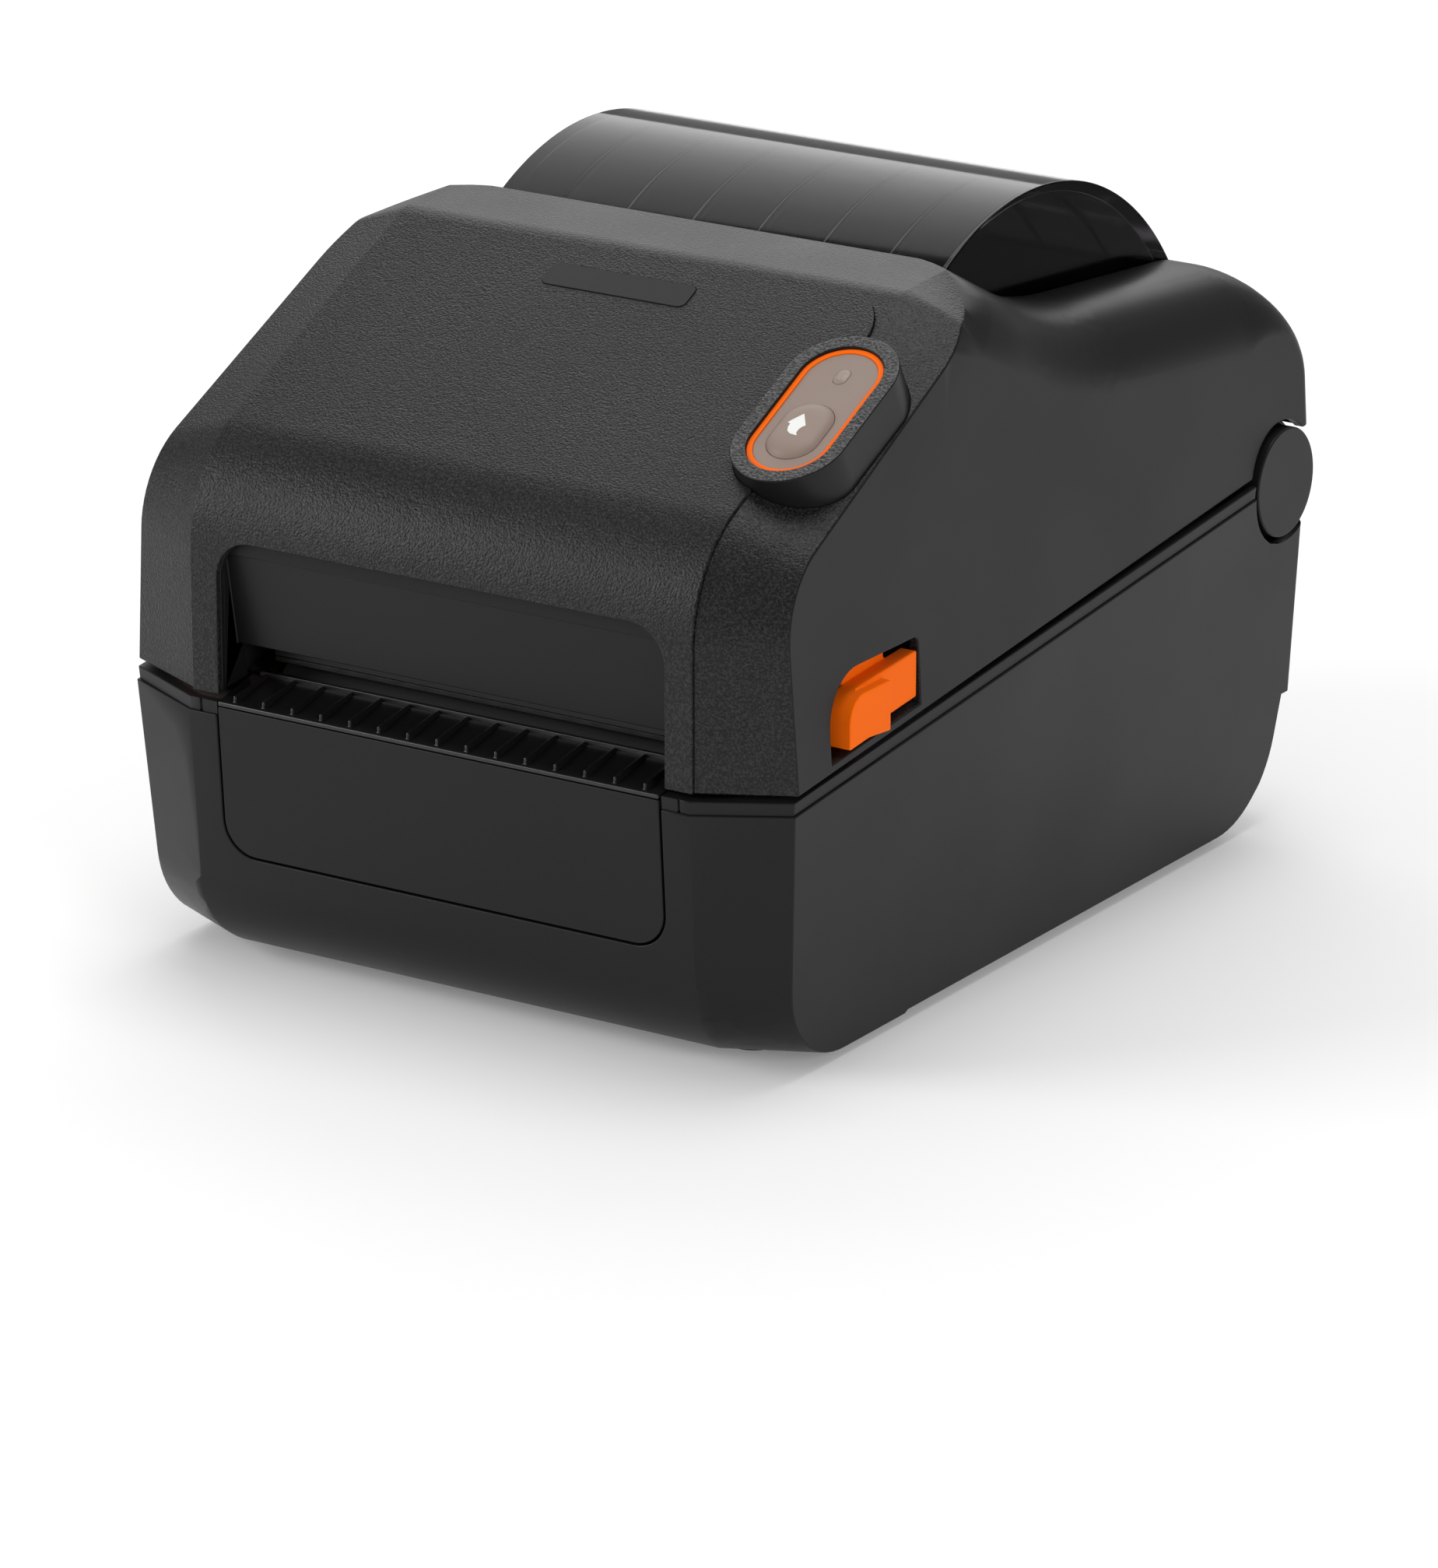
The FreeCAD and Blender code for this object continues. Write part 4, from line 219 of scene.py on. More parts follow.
class Coat:
    """A material being built: its tree, its Principled shader and helpers.

    Attributes:
        PATTERN_LOW: Pattern value that gives the lowest roughness.
        PATTERN_HIGH: Pattern value that gives the highest roughness.
    """

    PATTERN_LOW = 0.25
    PATTERN_HIGH = 0.75

    def __init__(self, name: str) -> None:
        """Start an empty material with that name."""
        self.material = bpy.data.materials.new(name)
        self.material.use_nodes = True
        self.tree = self.material.node_tree
        self.shader = self.tree.nodes["Principled BSDF"]

    def group(self, tree: bpy.types.NodeTree, **values: float) -> bpy.types.Node:
        """Place a shared effect with its own values.

        Args:
            tree: The effect's group.
            values: Values of its inputs.

        Returns:
            The group node.
        """
        node = add_node(self.tree, "ShaderNodeGroup", node_tree=tree)
        for label, value in values.items():
            node.inputs[label].default_value = value
        return node

    def tone(self, source: bpy.types.NodeSocket, dark: Colour, light: Colour,
             low: float = 0.3, high: float = 0.7) -> None:
        """Lead a pattern into the base colour.

        Args:
            source: The pattern.
            dark: Colour at its low end.
            light: Colour at its high end.
            low: Pattern value that gives the dark colour.
            high: Pattern value that gives the light colour.
        """
        ramp = add_node(self.tree, "ShaderNodeValToRGB")
        for element, place, colour in zip(ramp.color_ramp.elements, (low, high), (dark, light)):
            element.position = place
            element.color = (*colour, 1.0)
        self.tree.links.new(source, ramp.inputs["Fac"])
        self.tree.links.new(ramp.outputs["Color"], self.shader.inputs["Base Color"])

    def gloss(self, source: bpy.types.NodeSocket, low: float, high: float) -> None:
        """Lead a pattern into the roughness between two values."""
        span = add_node(self.tree, "ShaderNodeMapRange")
        span.inputs["From Min"].default_value = self.PATTERN_LOW
        span.inputs["From Max"].default_value = self.PATTERN_HIGH
        span.inputs["To Min"].default_value = low
        span.inputs["To Max"].default_value = high
        self.tree.links.new(source, span.inputs["Value"])
        self.tree.links.new(span.outputs["Result"], self.shader.inputs["Roughness"])

    def relief(self, source: bpy.types.NodeSocket, strength: float, depth: float) -> None:
        """Lead a height pattern into the normal, with a strength and a depth in metres."""
        bump = add_node(self.tree, "ShaderNodeBump")
        bump.inputs["Strength"].default_value = strength
        bump.inputs["Distance"].default_value = depth
        self.tree.links.new(source, bump.inputs["Height"])
        self.tree.links.new(bump.outputs["Normal"], self.shader.inputs["Normal"])


def shades(colour: Colour, factors: tuple[float, float]) -> list[Colour]:
    """A colour made darker and lighter by two factors."""
    return [tuple(min(1.0, channel * factor) for channel in colour) for factor in factors]


@dataclass(frozen=True)
class Moulded:
    """Moulded plastic or rubber.

    Attributes:
        name: Name of the material.
        colour: Linear base colour.
        surface: Texture of its face.
        roughness: Middle roughness.
        specular: Specular level.
        cells: Pebbles or specks per metre.
        depth: Depth of the texture in metres.
        painted_glint: How much lighter the tips of the pebbles are painted, a painted highlight.
        DRIFT: How far the roughness strays to either side.
        PAINTED_PIT_SHADE: Painted shade of the pits between pebbles.
        PEBBLE_SPAN: Grain values that give the painted shade of the pits and the painted highlight of the
            tips.
        SHADES: Darkest and lightest shade of the other surfaces.
        RELIEF: Strength of each surface's relief.
    """

    DRIFT = 0.05
    PAINTED_PIT_SHADE = 0.55
    PEBBLE_SPAN = (0.42, 0.68)
    SHADES = {Surface.SPARKED: (0.88, 1.12), Surface.SATIN: (0.93, 1.07)}
    RELIEF = {Surface.PEBBLED: 0.55, Surface.SPARKED: 0.3, Surface.SATIN: 0.12}

    name: str
    colour: Colour
    surface: Surface = Surface.SATIN
    roughness: float = 0.42
    specular: float = 0.5
    cells: float = 1500.0
    depth: float = 0.00006
    painted_glint: float = 2.6

    def material(self) -> bpy.types.Material:
        """Build the finish.

        Returns:
            The material.
        """
        coat = Coat(self.name)
        coat.shader.inputs["Specular IOR Level"].default_value = self.specular
        mottle = coat.group(EFFECTS.mottle, Specks=self.cells)
        coat.gloss(mottle.outputs["Drift"], self.roughness - self.DRIFT, self.roughness + self.DRIFT)
        if self.surface is Surface.PEBBLED:
            grain = coat.group(EFFECTS.pebble, Cells=self.cells)
            # The pits are painted darker and the tips lighter: painted shade and painted highlight.
            painted_pit_shade, tip = shades(self.colour, (self.PAINTED_PIT_SHADE, self.painted_glint))
            coat.tone(grain.outputs["Shade"], painted_pit_shade, tip, *self.PEBBLE_SPAN)
            height = grain.outputs["Height"]
        else:
            pattern = "Speck" if self.surface is Surface.SPARKED else "Drift"
            coat.tone(mottle.outputs[pattern], *shades(self.colour, self.SHADES[self.surface]))
            height = mottle.outputs["Speck"]
        coat.relief(height, self.RELIEF[self.surface], self.depth)
        return coat.material


@dataclass(frozen=True)
class Metal:
    """Bare metal with work lines.

    Attributes:
        name: Name of the material.
        colour: Linear base colour.
        sheen: How it was worked.
        roughness: Middle roughness.
        LINES: Lines along and across per metre for each way of working.
        SHADES: Darkest and lightest shade.
        STRAY: How far the roughness strays down and up.
        RELIEF: Strength of the lines' relief, and its depth in metres.
    """

    LINES = {Sheen.TURNED: (2500.0, 200.0), Sheen.ROLLED: (25.0, 2500.0)}
    SHADES = (0.82, 1.1)
    STRAY = (-0.08, 0.1)
    RELIEF = (0.15, 0.00003)

    name: str
    colour: Colour
    sheen: Sheen = Sheen.ROLLED
    roughness: float = 0.3

    def material(self) -> bpy.types.Material:
        """Build the finish.

        Returns:
            The material.
        """
        coat = Coat(self.name)
        coat.shader.inputs["Metallic"].default_value = 1.0
        along, across = self.LINES[self.sheen]
        lines = coat.group(EFFECTS.lines, Along=along, Across=across).outputs["Line"]
        coat.tone(lines, *shades(self.colour, self.SHADES))
        coat.gloss(lines, *(self.roughness + stray for stray in self.STRAY))
        coat.relief(lines, *self.RELIEF)
        return coat.material


@dataclass(frozen=True)
class Smoked:
    """Tinted clear plastic.

    Attributes:
        name: Name of the material.
        colour: Tint of what passes through.
        roughness: Middle roughness.
        bending: Index of refraction, which sets how much its face mirrors.
        PATCHES: Patches of the tint per metre.
        SHADES: Darkest and lightest shade.
        STRAY: How far the roughness strays down and up.
    """

    PATCHES = 14.0
    SHADES = (0.9, 1.1)
    STRAY = (-0.03, 0.04)

    name: str
    colour: Colour
    roughness: float = 0.08
    bending: float = 1.25

    def material(self) -> bpy.types.Material:
        """Build the finish.

        Returns:
            The material.
        """
        coat = Coat(self.name)
        coat.shader.inputs["Transmission Weight"].default_value = 1.0
        coat.shader.inputs["IOR"].default_value = self.bending
        drift = coat.group(EFFECTS.mottle, Patches=self.PATCHES).outputs["Drift"]
        coat.tone(drift, *shades(self.colour, self.SHADES))
        coat.gloss(drift, *(self.roughness + stray for stray in self.STRAY))
        return coat.material


@dataclass(frozen=True)
class Board:
    """Printed board with a solder mask over its tracks.

    Attributes:
        name: Name of the material.
        mask: Colour of the bare mask.
        track: Colour over a copper track.
        LINES: Tracks along and across per metre.
        SPAN: Pattern values that give the mask's and the track's colour.
        PATCHES: Patches of the gloss per metre.
        GLOSS: Lowest and highest roughness.
        RELIEF: Strength of the tracks' relief, and its depth in metres.
    """

    LINES = (40.0, 420.0)
    SPAN = (0.47, 0.53)
    PATCHES = 60.0
    GLOSS = (0.28, 0.4)
    RELIEF = (0.2, 0.00004)

    name: str
    mask: Colour
    track: Colour

    def material(self) -> bpy.types.Material:
        """Build the finish.

        Returns:
            The material.
        """
        coat = Coat(self.name)
        along, across = self.LINES
        lines = coat.group(EFFECTS.lines, Along=along, Across=across).outputs["Line"]
        coat.tone(lines, self.mask, self.track, *self.SPAN)
        mottle = coat.group(EFFECTS.mottle, Patches=self.PATCHES)
        coat.gloss(mottle.outputs["Drift"], *self.GLOSS)
        coat.relief(lines, *self.RELIEF)
        return coat.material


class Finish(Enum):
    """Finishes of the printer, named for where they are used."""

    CASE = Moulded("case_satin", (0.008, 0.008, 0.0082), Surface.SPARKED, 0.38, 0.22, 2600.0, 0.00002)
    # The hood's pebbles carry a painted highlight on their tips and painted shade in their pits.
    HOOD = Moulded("hood_pebbled_painted_glint", (0.011, 0.011, 0.0112), Surface.PEBBLED, 0.4, 0.26, 1900.0, 0.00022)
    # The rim's colour is lighter than the hood's: a painted highlight for its brighter pebbles.
    RIM = Moulded("rim_pebbled_painted_highlight", (0.03, 0.03, 0.0302), Surface.PEBBLED, 0.38, 0.32, 1500.0, 0.0003)
    GUIDE = Moulded("guide_gloss", (0.008, 0.008, 0.0082), Surface.SPARKED, 0.26, 0.5, 2600.0, 0.00002)
    FRAME = Moulded("frame_satin", (0.008, 0.008, 0.0082), Surface.SPARKED, 0.45, 0.25, 2600.0, 0.00002)
    BADGE = Moulded("badge_satin", (0.017, 0.017, 0.0172), Surface.SPARKED, 0.5, 0.25, 3000.0, 0.00002)
    ORANGE = Moulded("signal_orange", (1.0, 0.145, 0.003), Surface.SATIN, 0.5, 0.08, 1800.0, 0.00002)
    KEYPAD = Moulded("keypad_grey", (0.27, 0.205, 0.17), Surface.SATIN, 0.5, 0.35, 2200.0, 0.00002)
    MARK = Moulded("arrow_white", (0.82, 0.82, 0.80), Surface.SATIN, 0.6, 0.3, 2000.0, 0.00001)
    LENS = Moulded("lamp_lens", (0.30, 0.235, 0.195), Surface.SATIN, 0.4, 0.4, 1500.0, 0.00001)
    RUBBER = Moulded("foot_rubber", (0.018, 0.018, 0.018), Surface.SPARKED, 0.75, 0.3, 1600.0, 0.00004)
    ROLLER = Moulded("roller_rubber", (0.028, 0.028, 0.030), Surface.SPARKED, 0.65, 0.35, 2400.0, 0.00002)
    # The print head's light ceramic is painted nearly black: painted shade under the visor.
    SHADED_HEAD = Moulded("head_painted_shade", (0.014, 0.013, 0.012), Surface.SATIN, 0.25, 0.4, 900.0, 0.00001)
    GEAR = Moulded("gear_acetal", (0.03, 0.03, 0.032), Surface.SATIN, 0.45, 0.4, 1500.0, 0.00002)
    SOCKET = Moulded("socket_black", (0.014, 0.014, 0.014), Surface.SPARKED, 0.4, 0.5, 2200.0, 0.00002)
    ROCKER = Moulded("rocker_gloss", (0.012, 0.012, 0.012), Surface.SATIN, 0.2, 0.5, 900.0, 0.00001)
    MOTOR = Moulded("motor_enamel", (0.025, 0.025, 0.028), Surface.SPARKED, 0.35, 0.5, 1200.0, 0.00002)
    STEEL = Metal("turned_steel", (0.56, 0.56, 0.57), Sheen.TURNED, 0.24)
    SHEET = Metal("rolled_steel", (0.50, 0.51, 0.52), Sheen.ROLLED, 0.34)
    # The tear bar's bright steel is painted nearly black: painted shade in the gap under the visor.
    EDGE = Metal("tear_edge_painted_shade", (0.09, 0.09, 0.092), Sheen.ROLLED, 0.36)
    DARK = Metal("blackened_steel", (0.05, 0.05, 0.052), Sheen.ROLLED, 0.45)
    # The heat sink's bare aluminium is painted nearly black: painted shade under the visor.
    SHADED_SINK = Metal("sink_painted_shade", (0.05, 0.05, 0.052), Sheen.ROLLED, 0.42)
    BRASS = Metal("bush_bronze", (0.16, 0.11, 0.055), Sheen.TURNED, 0.45)
    WINDOW = Smoked("smoked_window", (0.085, 0.078, 0.086), 0.07, 1.25)
    # The window's ends get a darker tint and weaker mirroring than its top: painted shade.
    SHADED_PANE = Smoked("smoked_end_painted_shade", (0.05, 0.047, 0.05), 0.1, 1.08)
    BOARD = Board("board_green", (0.010, 0.085, 0.035), (0.03, 0.17, 0.07))


class Paint:
    """Makes each finish once and puts it on pieces."""

    def __init__(self) -> None:
        """Start with no finish made."""
        self.made: dict[Finish, bpy.types.Material] = {}

    def get(self, finish: Finish) -> bpy.types.Material:
        """The material of a finish, made on first use."""
        if finish not in self.made:
            self.made[finish] = finish.value.material()
        return self.made[finish]

    def dress(self, piece: Piece, *finishes: Finish) -> None:
        """Give a piece its finishes as material slots, in order."""
        piece.data.materials.clear()
        for finish in finishes:
            piece.data.materials.append(self.get(finish))

    def dress_node(self, node: str, finish: Finish) -> None:
        """Put a finish into every material slot of a CAD node."""
        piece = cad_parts[node]
        if not piece.material_slots:
            piece.data.materials.append(None)
        for slot in piece.material_slots:
            slot.material = self.get(finish)


PAINT = Paint()


class Bench:
    """Hand-like mesh edits on one piece at a time.

    MERGE and SLIVER are lengths in metres, and STEPS counts the segments of a rounding. Faces that meet at
    less than FLAT are joined, edges over SHARP are rounded and edges under SMOOTH are shaded smoothly.
    """

    MERGE = 1e-6
    SLIVER = 2e-5
    FLAT = math.radians(0.4)
    SHARP = math.radians(28.0)
    SMOOTH = math.radians(35.0)
    STEPS = 3
    TOP = 0.99

    @staticmethod
    def pick(piece: Piece) -> None:
        """Select one piece alone and make it active."""
        bpy.ops.object.select_all(action="DESELECT")
        piece.select_set(True)
        bpy.context.view_layer.objects.active = piece

    @staticmethod
    def enter(piece: Piece, kind: str, action: str) -> None:
        """Enter edit mode on one piece, with all or none of its parts of a kind selected."""
        Bench.pick(piece)
        bpy.ops.object.mode_set(mode="EDIT")
        bpy.ops.mesh.select_mode(type=kind)
        bpy.ops.mesh.select_all(action=action)

    @staticmethod
    def face_outward() -> None:
        """Turn all faces of the piece in edit mode outward, and leave edit mode."""
        bpy.ops.mesh.select_all(action="SELECT")
        bpy.ops.mesh.normals_make_consistent(inside=False)
        bpy.ops.object.mode_set(mode="OBJECT")

    @staticmethod
    def copy_node(node: str, name: str) -> Piece:
        """Copy a CAD node's mesh, merged and with its flat faces joined.

        Args:
            node: The CAD node.
            name: Name of the new piece.

        Returns:
            The new piece.
        """
        piece = bpy.data.objects.new(name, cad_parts[node].data.copy())
        bpy.context.scene.collection.objects.link(piece)
        Bench.pick(piece)
        bpy.ops.object.mode_set(mode="EDIT")
        bpy.ops.mesh.select_all(action="SELECT")
        bpy.ops.mesh.remove_doubles(threshold=Bench.MERGE)
        bpy.ops.mesh.dissolve_degenerate(threshold=Bench.SLIVER)
        bpy.ops.mesh.dissolve_limited(angle_limit=Bench.FLAT)
        bpy.ops.mesh.customdata_custom_splitnormals_clear()
        bpy.ops.object.mode_set(mode="OBJECT")
        return piece

    @staticmethod
    def soften(piece: Piece, width: float, where: PlaceTest) -> None:
        """Round a piece's sharp edges.

        Args:
            piece: The piece.
            width: Width of the rounding in metres.
            where: Whether the edge with this middle point is rounded.
        """
        Bench.enter(piece, "EDGE", "DESELECT")
        bpy.ops.mesh.edges_select_sharp(sharpness=Bench.SHARP)
        bpy.ops.object.mode_set(mode="OBJECT")
        points = piece.data.vertices
        piece.data.polygons.foreach_set("select", [False] * len(piece.data.polygons))
        for edge in piece.data.edges:
            if edge.select:
                edge.select = where((points[edge.vertices[0]].co + points[edge.vertices[1]].co) / 2)
        bpy.ops.object.mode_set(mode="EDIT")
        bpy.ops.mesh.bevel(offset=width, segments=Bench.STEPS, affect="EDGES", clamp_overlap=False)
        bpy.ops.object.mode_set(mode="OBJECT")

    @staticmethod
    def smooth(piece: Piece) -> None:
        """Shade a piece smoothly, with its large faces kept flat."""
        Bench.pick(piece)
        bpy.ops.object.shade_smooth_by_angle(angle=Bench.SMOOTH)
        even = piece.modifiers.new("even", "WEIGHTED_NORMAL")
        even.keep_sharp = True
        bpy.ops.object.modifier_apply(modifier=even.name)

    @staticmethod
    def select_faces(piece: Piece, chosen: FaceTest) -> None:
        """Enter edit mode with only the chosen faces selected."""
        Bench.enter(piece, "FACE", "DESELECT")
        bpy.ops.object.mode_set(mode="OBJECT")
        for face in piece.data.polygons:
            face.select = chosen(face)
        bpy.ops.object.mode_set(mode="EDIT")

    @staticmethod
    def crown(piece: Piece, up: Vector, lower: float, steps: Pairs) -> None:
        """Turn a piece's flat top into a soft dome of nested rings.

        Args:
            piece: The piece, with one flat top face.
            up: Direction that the top faces.
            lower: How far the top's rim is lowered first, in metres.
            steps: Inset and rise of each ring, in metres.
        """
        Bench.select_faces(piece, lambda face: face.normal.dot(up) > Bench.TOP)
        bpy.ops.transform.translate(value=up * -lower)
        for inset, rise in steps:
            bpy.ops.mesh.inset(thickness=inset, depth=rise, use_even_offset=True)
        bpy.ops.object.mode_set(mode="OBJECT")

    @staticmethod
    def zone(piece: Piece, chosen: FaceTest, slot: int) -> None:
        """Give the chosen faces of a piece one of its material slots."""
        for face in piece.data.polygons:
            if chosen(face):
                face.material_index = slot

    @staticmethod
    def settle(piece: Piece) -> None:
        """Apply a piece's place to its mesh, so that the object sits at the origin."""
        Bench.pick(piece)
        bpy.ops.object.transform_apply(location=True, rotation=True, scale=True)


def everywhere(_: Vector) -> bool:
    """Every edge of a piece."""
    return True


@dataclass
class SoftCopy:
    """A CAD node shown as a copy with rounded edges.

    Attributes:
        node: The CAD node.
        body: The body that it rides on.
        slot: The record's material slot.
        finish: Its main finish.
        width: Width of the edge rounding in metres.
        where: Which edges are rounded.
        second: A finish for part of its faces.
        zone: Which faces take the second finish.
        mend: An edit of the copy's shape before its edges are rounded.
    """

    node: str
    body: str
    slot: str
    finish: Finish
    width: float = 0.0003
    where: PlaceTest = everywhere
    second: Finish | None = None
    zone: FaceTest | None = None
    mend: Callable[[Piece], None] | None = None

    def build(self) -> Piece:
        """Make the copy, dress it and let it ride.

        Returns:
            The new piece.
        """
        piece = Bench.copy_node(self.node, self.node + "_soft")
        if self.mend:
            self.mend(piece)
        PAINT.dress(piece, self.finish, *([self.second] if self.second else []))
        Bench.zone(piece, lambda face: True, 0)
        Bench.soften(piece, self.width, self.where)
        Bench.smooth(piece)
        if self.zone:
            Bench.zone(piece, self.zone, 1)
        return attach(piece, self.node, self.body, self.slot)


def attach(piece: Piece, node: str, body: str, slot: str) -> Piece:
    """Let a piece stand for a CAD node and ride on a body.

    Args:
        piece: The finished piece.
        node: The CAD node that it stands for.
        body: The body that it rides on.
        slot: The record's material slot; not used.

    Returns:
        The piece.
    """
    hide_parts(node)
    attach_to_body(piece, body)
    return piece


class Assembly:
    """A sub-assembly made of softened copies."""

    def copies(self) -> list[SoftCopy]:
        """The softened copies, in the order in which they are made."""
        raise NotImplementedError

    def build(self) -> list[Piece]:
        """Make the pieces.

        Returns:
            The new pieces.
        """
        return [copy.build() for copy in self.copies()]


@dataclass
class CaseShells(Assembly):
    """Lower case, front panel, feet and hinge caps.

    Attributes:
        rear_limit: Edges of the case behind this place along Y stay sharp.
        bush_limit: Edges of the frame before this place along Y stay sharp about the platen.
        bush_side: How far to the sides the platen's place reaches.
    """

    rear_limit: float = 0.098
    bush_limit: float = -0.08
    bush_side: float = 0.062

    def is_ahead(self, middle: Vector) -> bool:
        """Whether an edge of the case lies before its rear."""
        return middle.y < self.rear_limit

    def is_off_bushes(self, middle: Vector) -> bool:
        """Whether an edge of the frame lies away from the platen's place."""
        return middle.y > self.bush_limit or abs(middle.x) > self.bush_side

    def copies(self) -> list[SoftCopy]:
        """Shells as softened copies."""
        return [
            SoftCopy("lower_case", "base", "case_black", Finish.CASE, 0.0004, self.is_ahead),
            SoftCopy("front_panel", "base", "case_black", Finish.CASE, 0.0003),
            SoftCopy("hinge_cap_right", "base", "case_black", Finish.CASE, 0.0005),
            SoftCopy("hinge_cap_left", "base", "case_black", Finish.CASE, 0.0005),
            SoftCopy("rubber_feet", "base", "foot_rubber", Finish.RUBBER, 0.0008),
            SoftCopy("inner_frame", "base", "frame_black", Finish.FRAME, 0.0003, self.is_off_bushes),
        ]


@dataclass
class CoverShells(Assembly):
    """Cover shell, raised hood panel, badge plate and window.

    Attributes:
        hood_rear: Where the hood's top ends, along Y.
        hood_rise: Faces that point up more than this may be on the hood's outside.
        hood_lean: So may faces whose normal along Y is below this.
        side_lean: Faces that point sideways more than this are the smooth sides.
        end_lean: Faces of the window that point sideways more than this are its ends, which are painted
            darker as shade.
        notch_lean: Least lean, forward and up, of the floor of the notch at a rear corner.
        notch_front: That floor's middle lies behind this place along Y.
        corner: Middle of the hood's rounded rear corner.
        corner_radius: Radius of that corner.
        corner_slack: How far a face's middle may lie off the corner's round wall.
        draft: How much the cover's walls lean inwards.
        wall_lean: Faces that point up less than this are walls.
        notch_side: The floor is cut this far from the middle, and spanned outside of it.
        tip: The patches' narrow ends lie outside, behind and above this place.
    """

    hood_rear: float = -0.0084
    hood_rise: float = 0.05
    hood_lean: float = -0.3
    side_lean: float = 0.62
    end_lean: float = 0.9
    notch_lean: float = -0.5
    notch_front: float = -0.03
    corner: Triple = (0.05008, -0.0415, 0.145)
    corner_radius: float = 0.033
    corner_slack: float = 0.0005
    draft: float = 0.06
    wall_lean: float = 0.2
    notch_side: float = 0.0545
    tip: Triple = (0.053, -0.0125, 0.1555)

    def from_corner(self, point: Vector) -> tuple[float, float]:
        """Distances across and along from the middle of the nearer rear corner of the hood."""
        middle = self.corner[0] - self.draft * (point.z - self.corner[2])
        return abs(point.x) - middle, point.y - self.corner[1]

    def is_notch_floor(self, face: Face) -> bool:
        """Whether a face of the cover is the floor of the notch at a rear corner of the hood."""
        leaning = face.normal.y < self.notch_lean and face.normal.z > -self.notch_lean
        return leaning and face.center.y > self.notch_front

    def is_notch_wall(self, face: Face) -> bool:
        """Whether a face of the cover is on the outside of a rounded rear corner of the hood."""
        across, along = self.from_corner(face.center)
        sideways = math.copysign(1.0, face.center.x) * face.normal.x
        near = abs(math.hypot(across, along) - self.corner_radius) < self.corner_slack
        beside = min(across, along) > -self.corner_slack and abs(face.normal.z) < self.wall_lean
        return near and beside and sideways * across + face.normal.y * along > 0.0

    def close_side(self, piece: Piece, side: float) -> None:
        """Span the notch at one rear corner of the hood.

        Args:
            piece: The copy of the cover.
            side: -1 for the left corner, 1 for the right one.
        """
        Bench.select_faces(piece, self.is_notch_floor)
        bpy.ops.mesh.bisect(plane_co=(side * self.notch_side, 0.0, 0.0), plane_no=(1.0, 0.0, 0.0))
        bpy.ops.object.mode_set(mode="OBJECT")
        Bench.select_faces(piece, lambda face: side * face.center.x > self.notch_side
                           and (self.is_notch_floor(face) or self.is_notch_wall(face)))
        bpy.ops.mesh.delete(type="FACE")
        bpy.ops.mesh.select_mode(type="EDGE")
        bpy.ops.mesh.select_non_manifold(
            extend=False, use_wire=False, use_boundary=True, use_multi_face=False,
            use_non_contiguous=False, use_verts=False)
        bpy.ops.mesh.fill(use_beauty=True)
        Bench.face_outward()

    def close_notch(self, piece: Piece) -> None:
        """Span the notch at both rear corners of the hood."""
        for side in (-1.0, 1.0):
            self.close_side(piece, side)

    def is_off_tip(self, point: Vector) -> bool:
        """Whether a place on the cover is clear of the patches' narrow ends, which stay unrounded."""
        return abs(point.x) < self.tip[0] or point.y < self.tip[1] or point.z < self.tip[2]

    def on_hood(self, face: Face) -> bool:
        """Whether a face of the cover lies on the hood's pebbled outside."""
        outward = face.normal.z > self.hood_rise or face.normal.y < self.hood_lean
        inside = abs(face.normal.x) < self.side_lean and face.center.y < self.hood_rear
        across, along = self.from_corner(face.center)
        beyond = min(across, along) > 0.0 and math.hypot(across, along) > self.corner_radius
        return outward and inside and not beyond

    def on_shaded_end(self, face: Face) -> bool:
        """Whether a face of the window belongs to its flat ends, which take the darker painted-shade tint."""
        return abs(face.normal.x) > self.end_lean

    def copies(self) -> list[SoftCopy]:
        """Shells as softened copies."""
        return [
            SoftCopy("cover_shell", "cover", "case_black", Finish.CASE, 0.0004, self.is_off_tip,
                     Finish.HOOD, self.on_hood, self.close_notch),
            SoftCopy("hood_panel", "cover", "grained_black", Finish.HOOD, 0.0003),
            SoftCopy("badge_plate", "cover", "badge_dark", Finish.BADGE, 0.0001),
            # The window's flat ends take the darker tint: painted shade.
            SoftCopy("media_window", "cover", "smoked_clear", Finish.WINDOW, 0.0004, everywhere,
                     Finish.SHADED_PANE, self.on_shaded_end),
        ]


@dataclass
class LabelExit(Assembly):
    """Ribbed ledge, wall behind the opening and the steel edge."""

    def copies(self) -> list[SoftCopy]:
        """Shells as softened copies."""
        return [
            SoftCopy("exit_guide", "base", "frame_black", Finish.GUIDE, 0.0003),
            SoftCopy("exit_visor", "cover", "frame_black", Finish.CASE, 0.0003),
            # Its steel edge is painted dark as shade.
            SoftCopy("tear_bar", "base", "bright_steel", Finish.EDGE, 0.0001),
        ]


@dataclass
class LatchLevers(Assembly):
    """The orange levers on both sides.

    Attributes:
        softness: Width of the edge rounding in metres.
    """

    softness: float = 0.0004

    def copies(self) -> list[SoftCopy]:
        """Both levers as softened copies."""
        return [SoftCopy(node, "latch", "signal_orange", Finish.ORANGE, self.softness)
                for node in ("latch_lever_right", "latch_lever_left")]


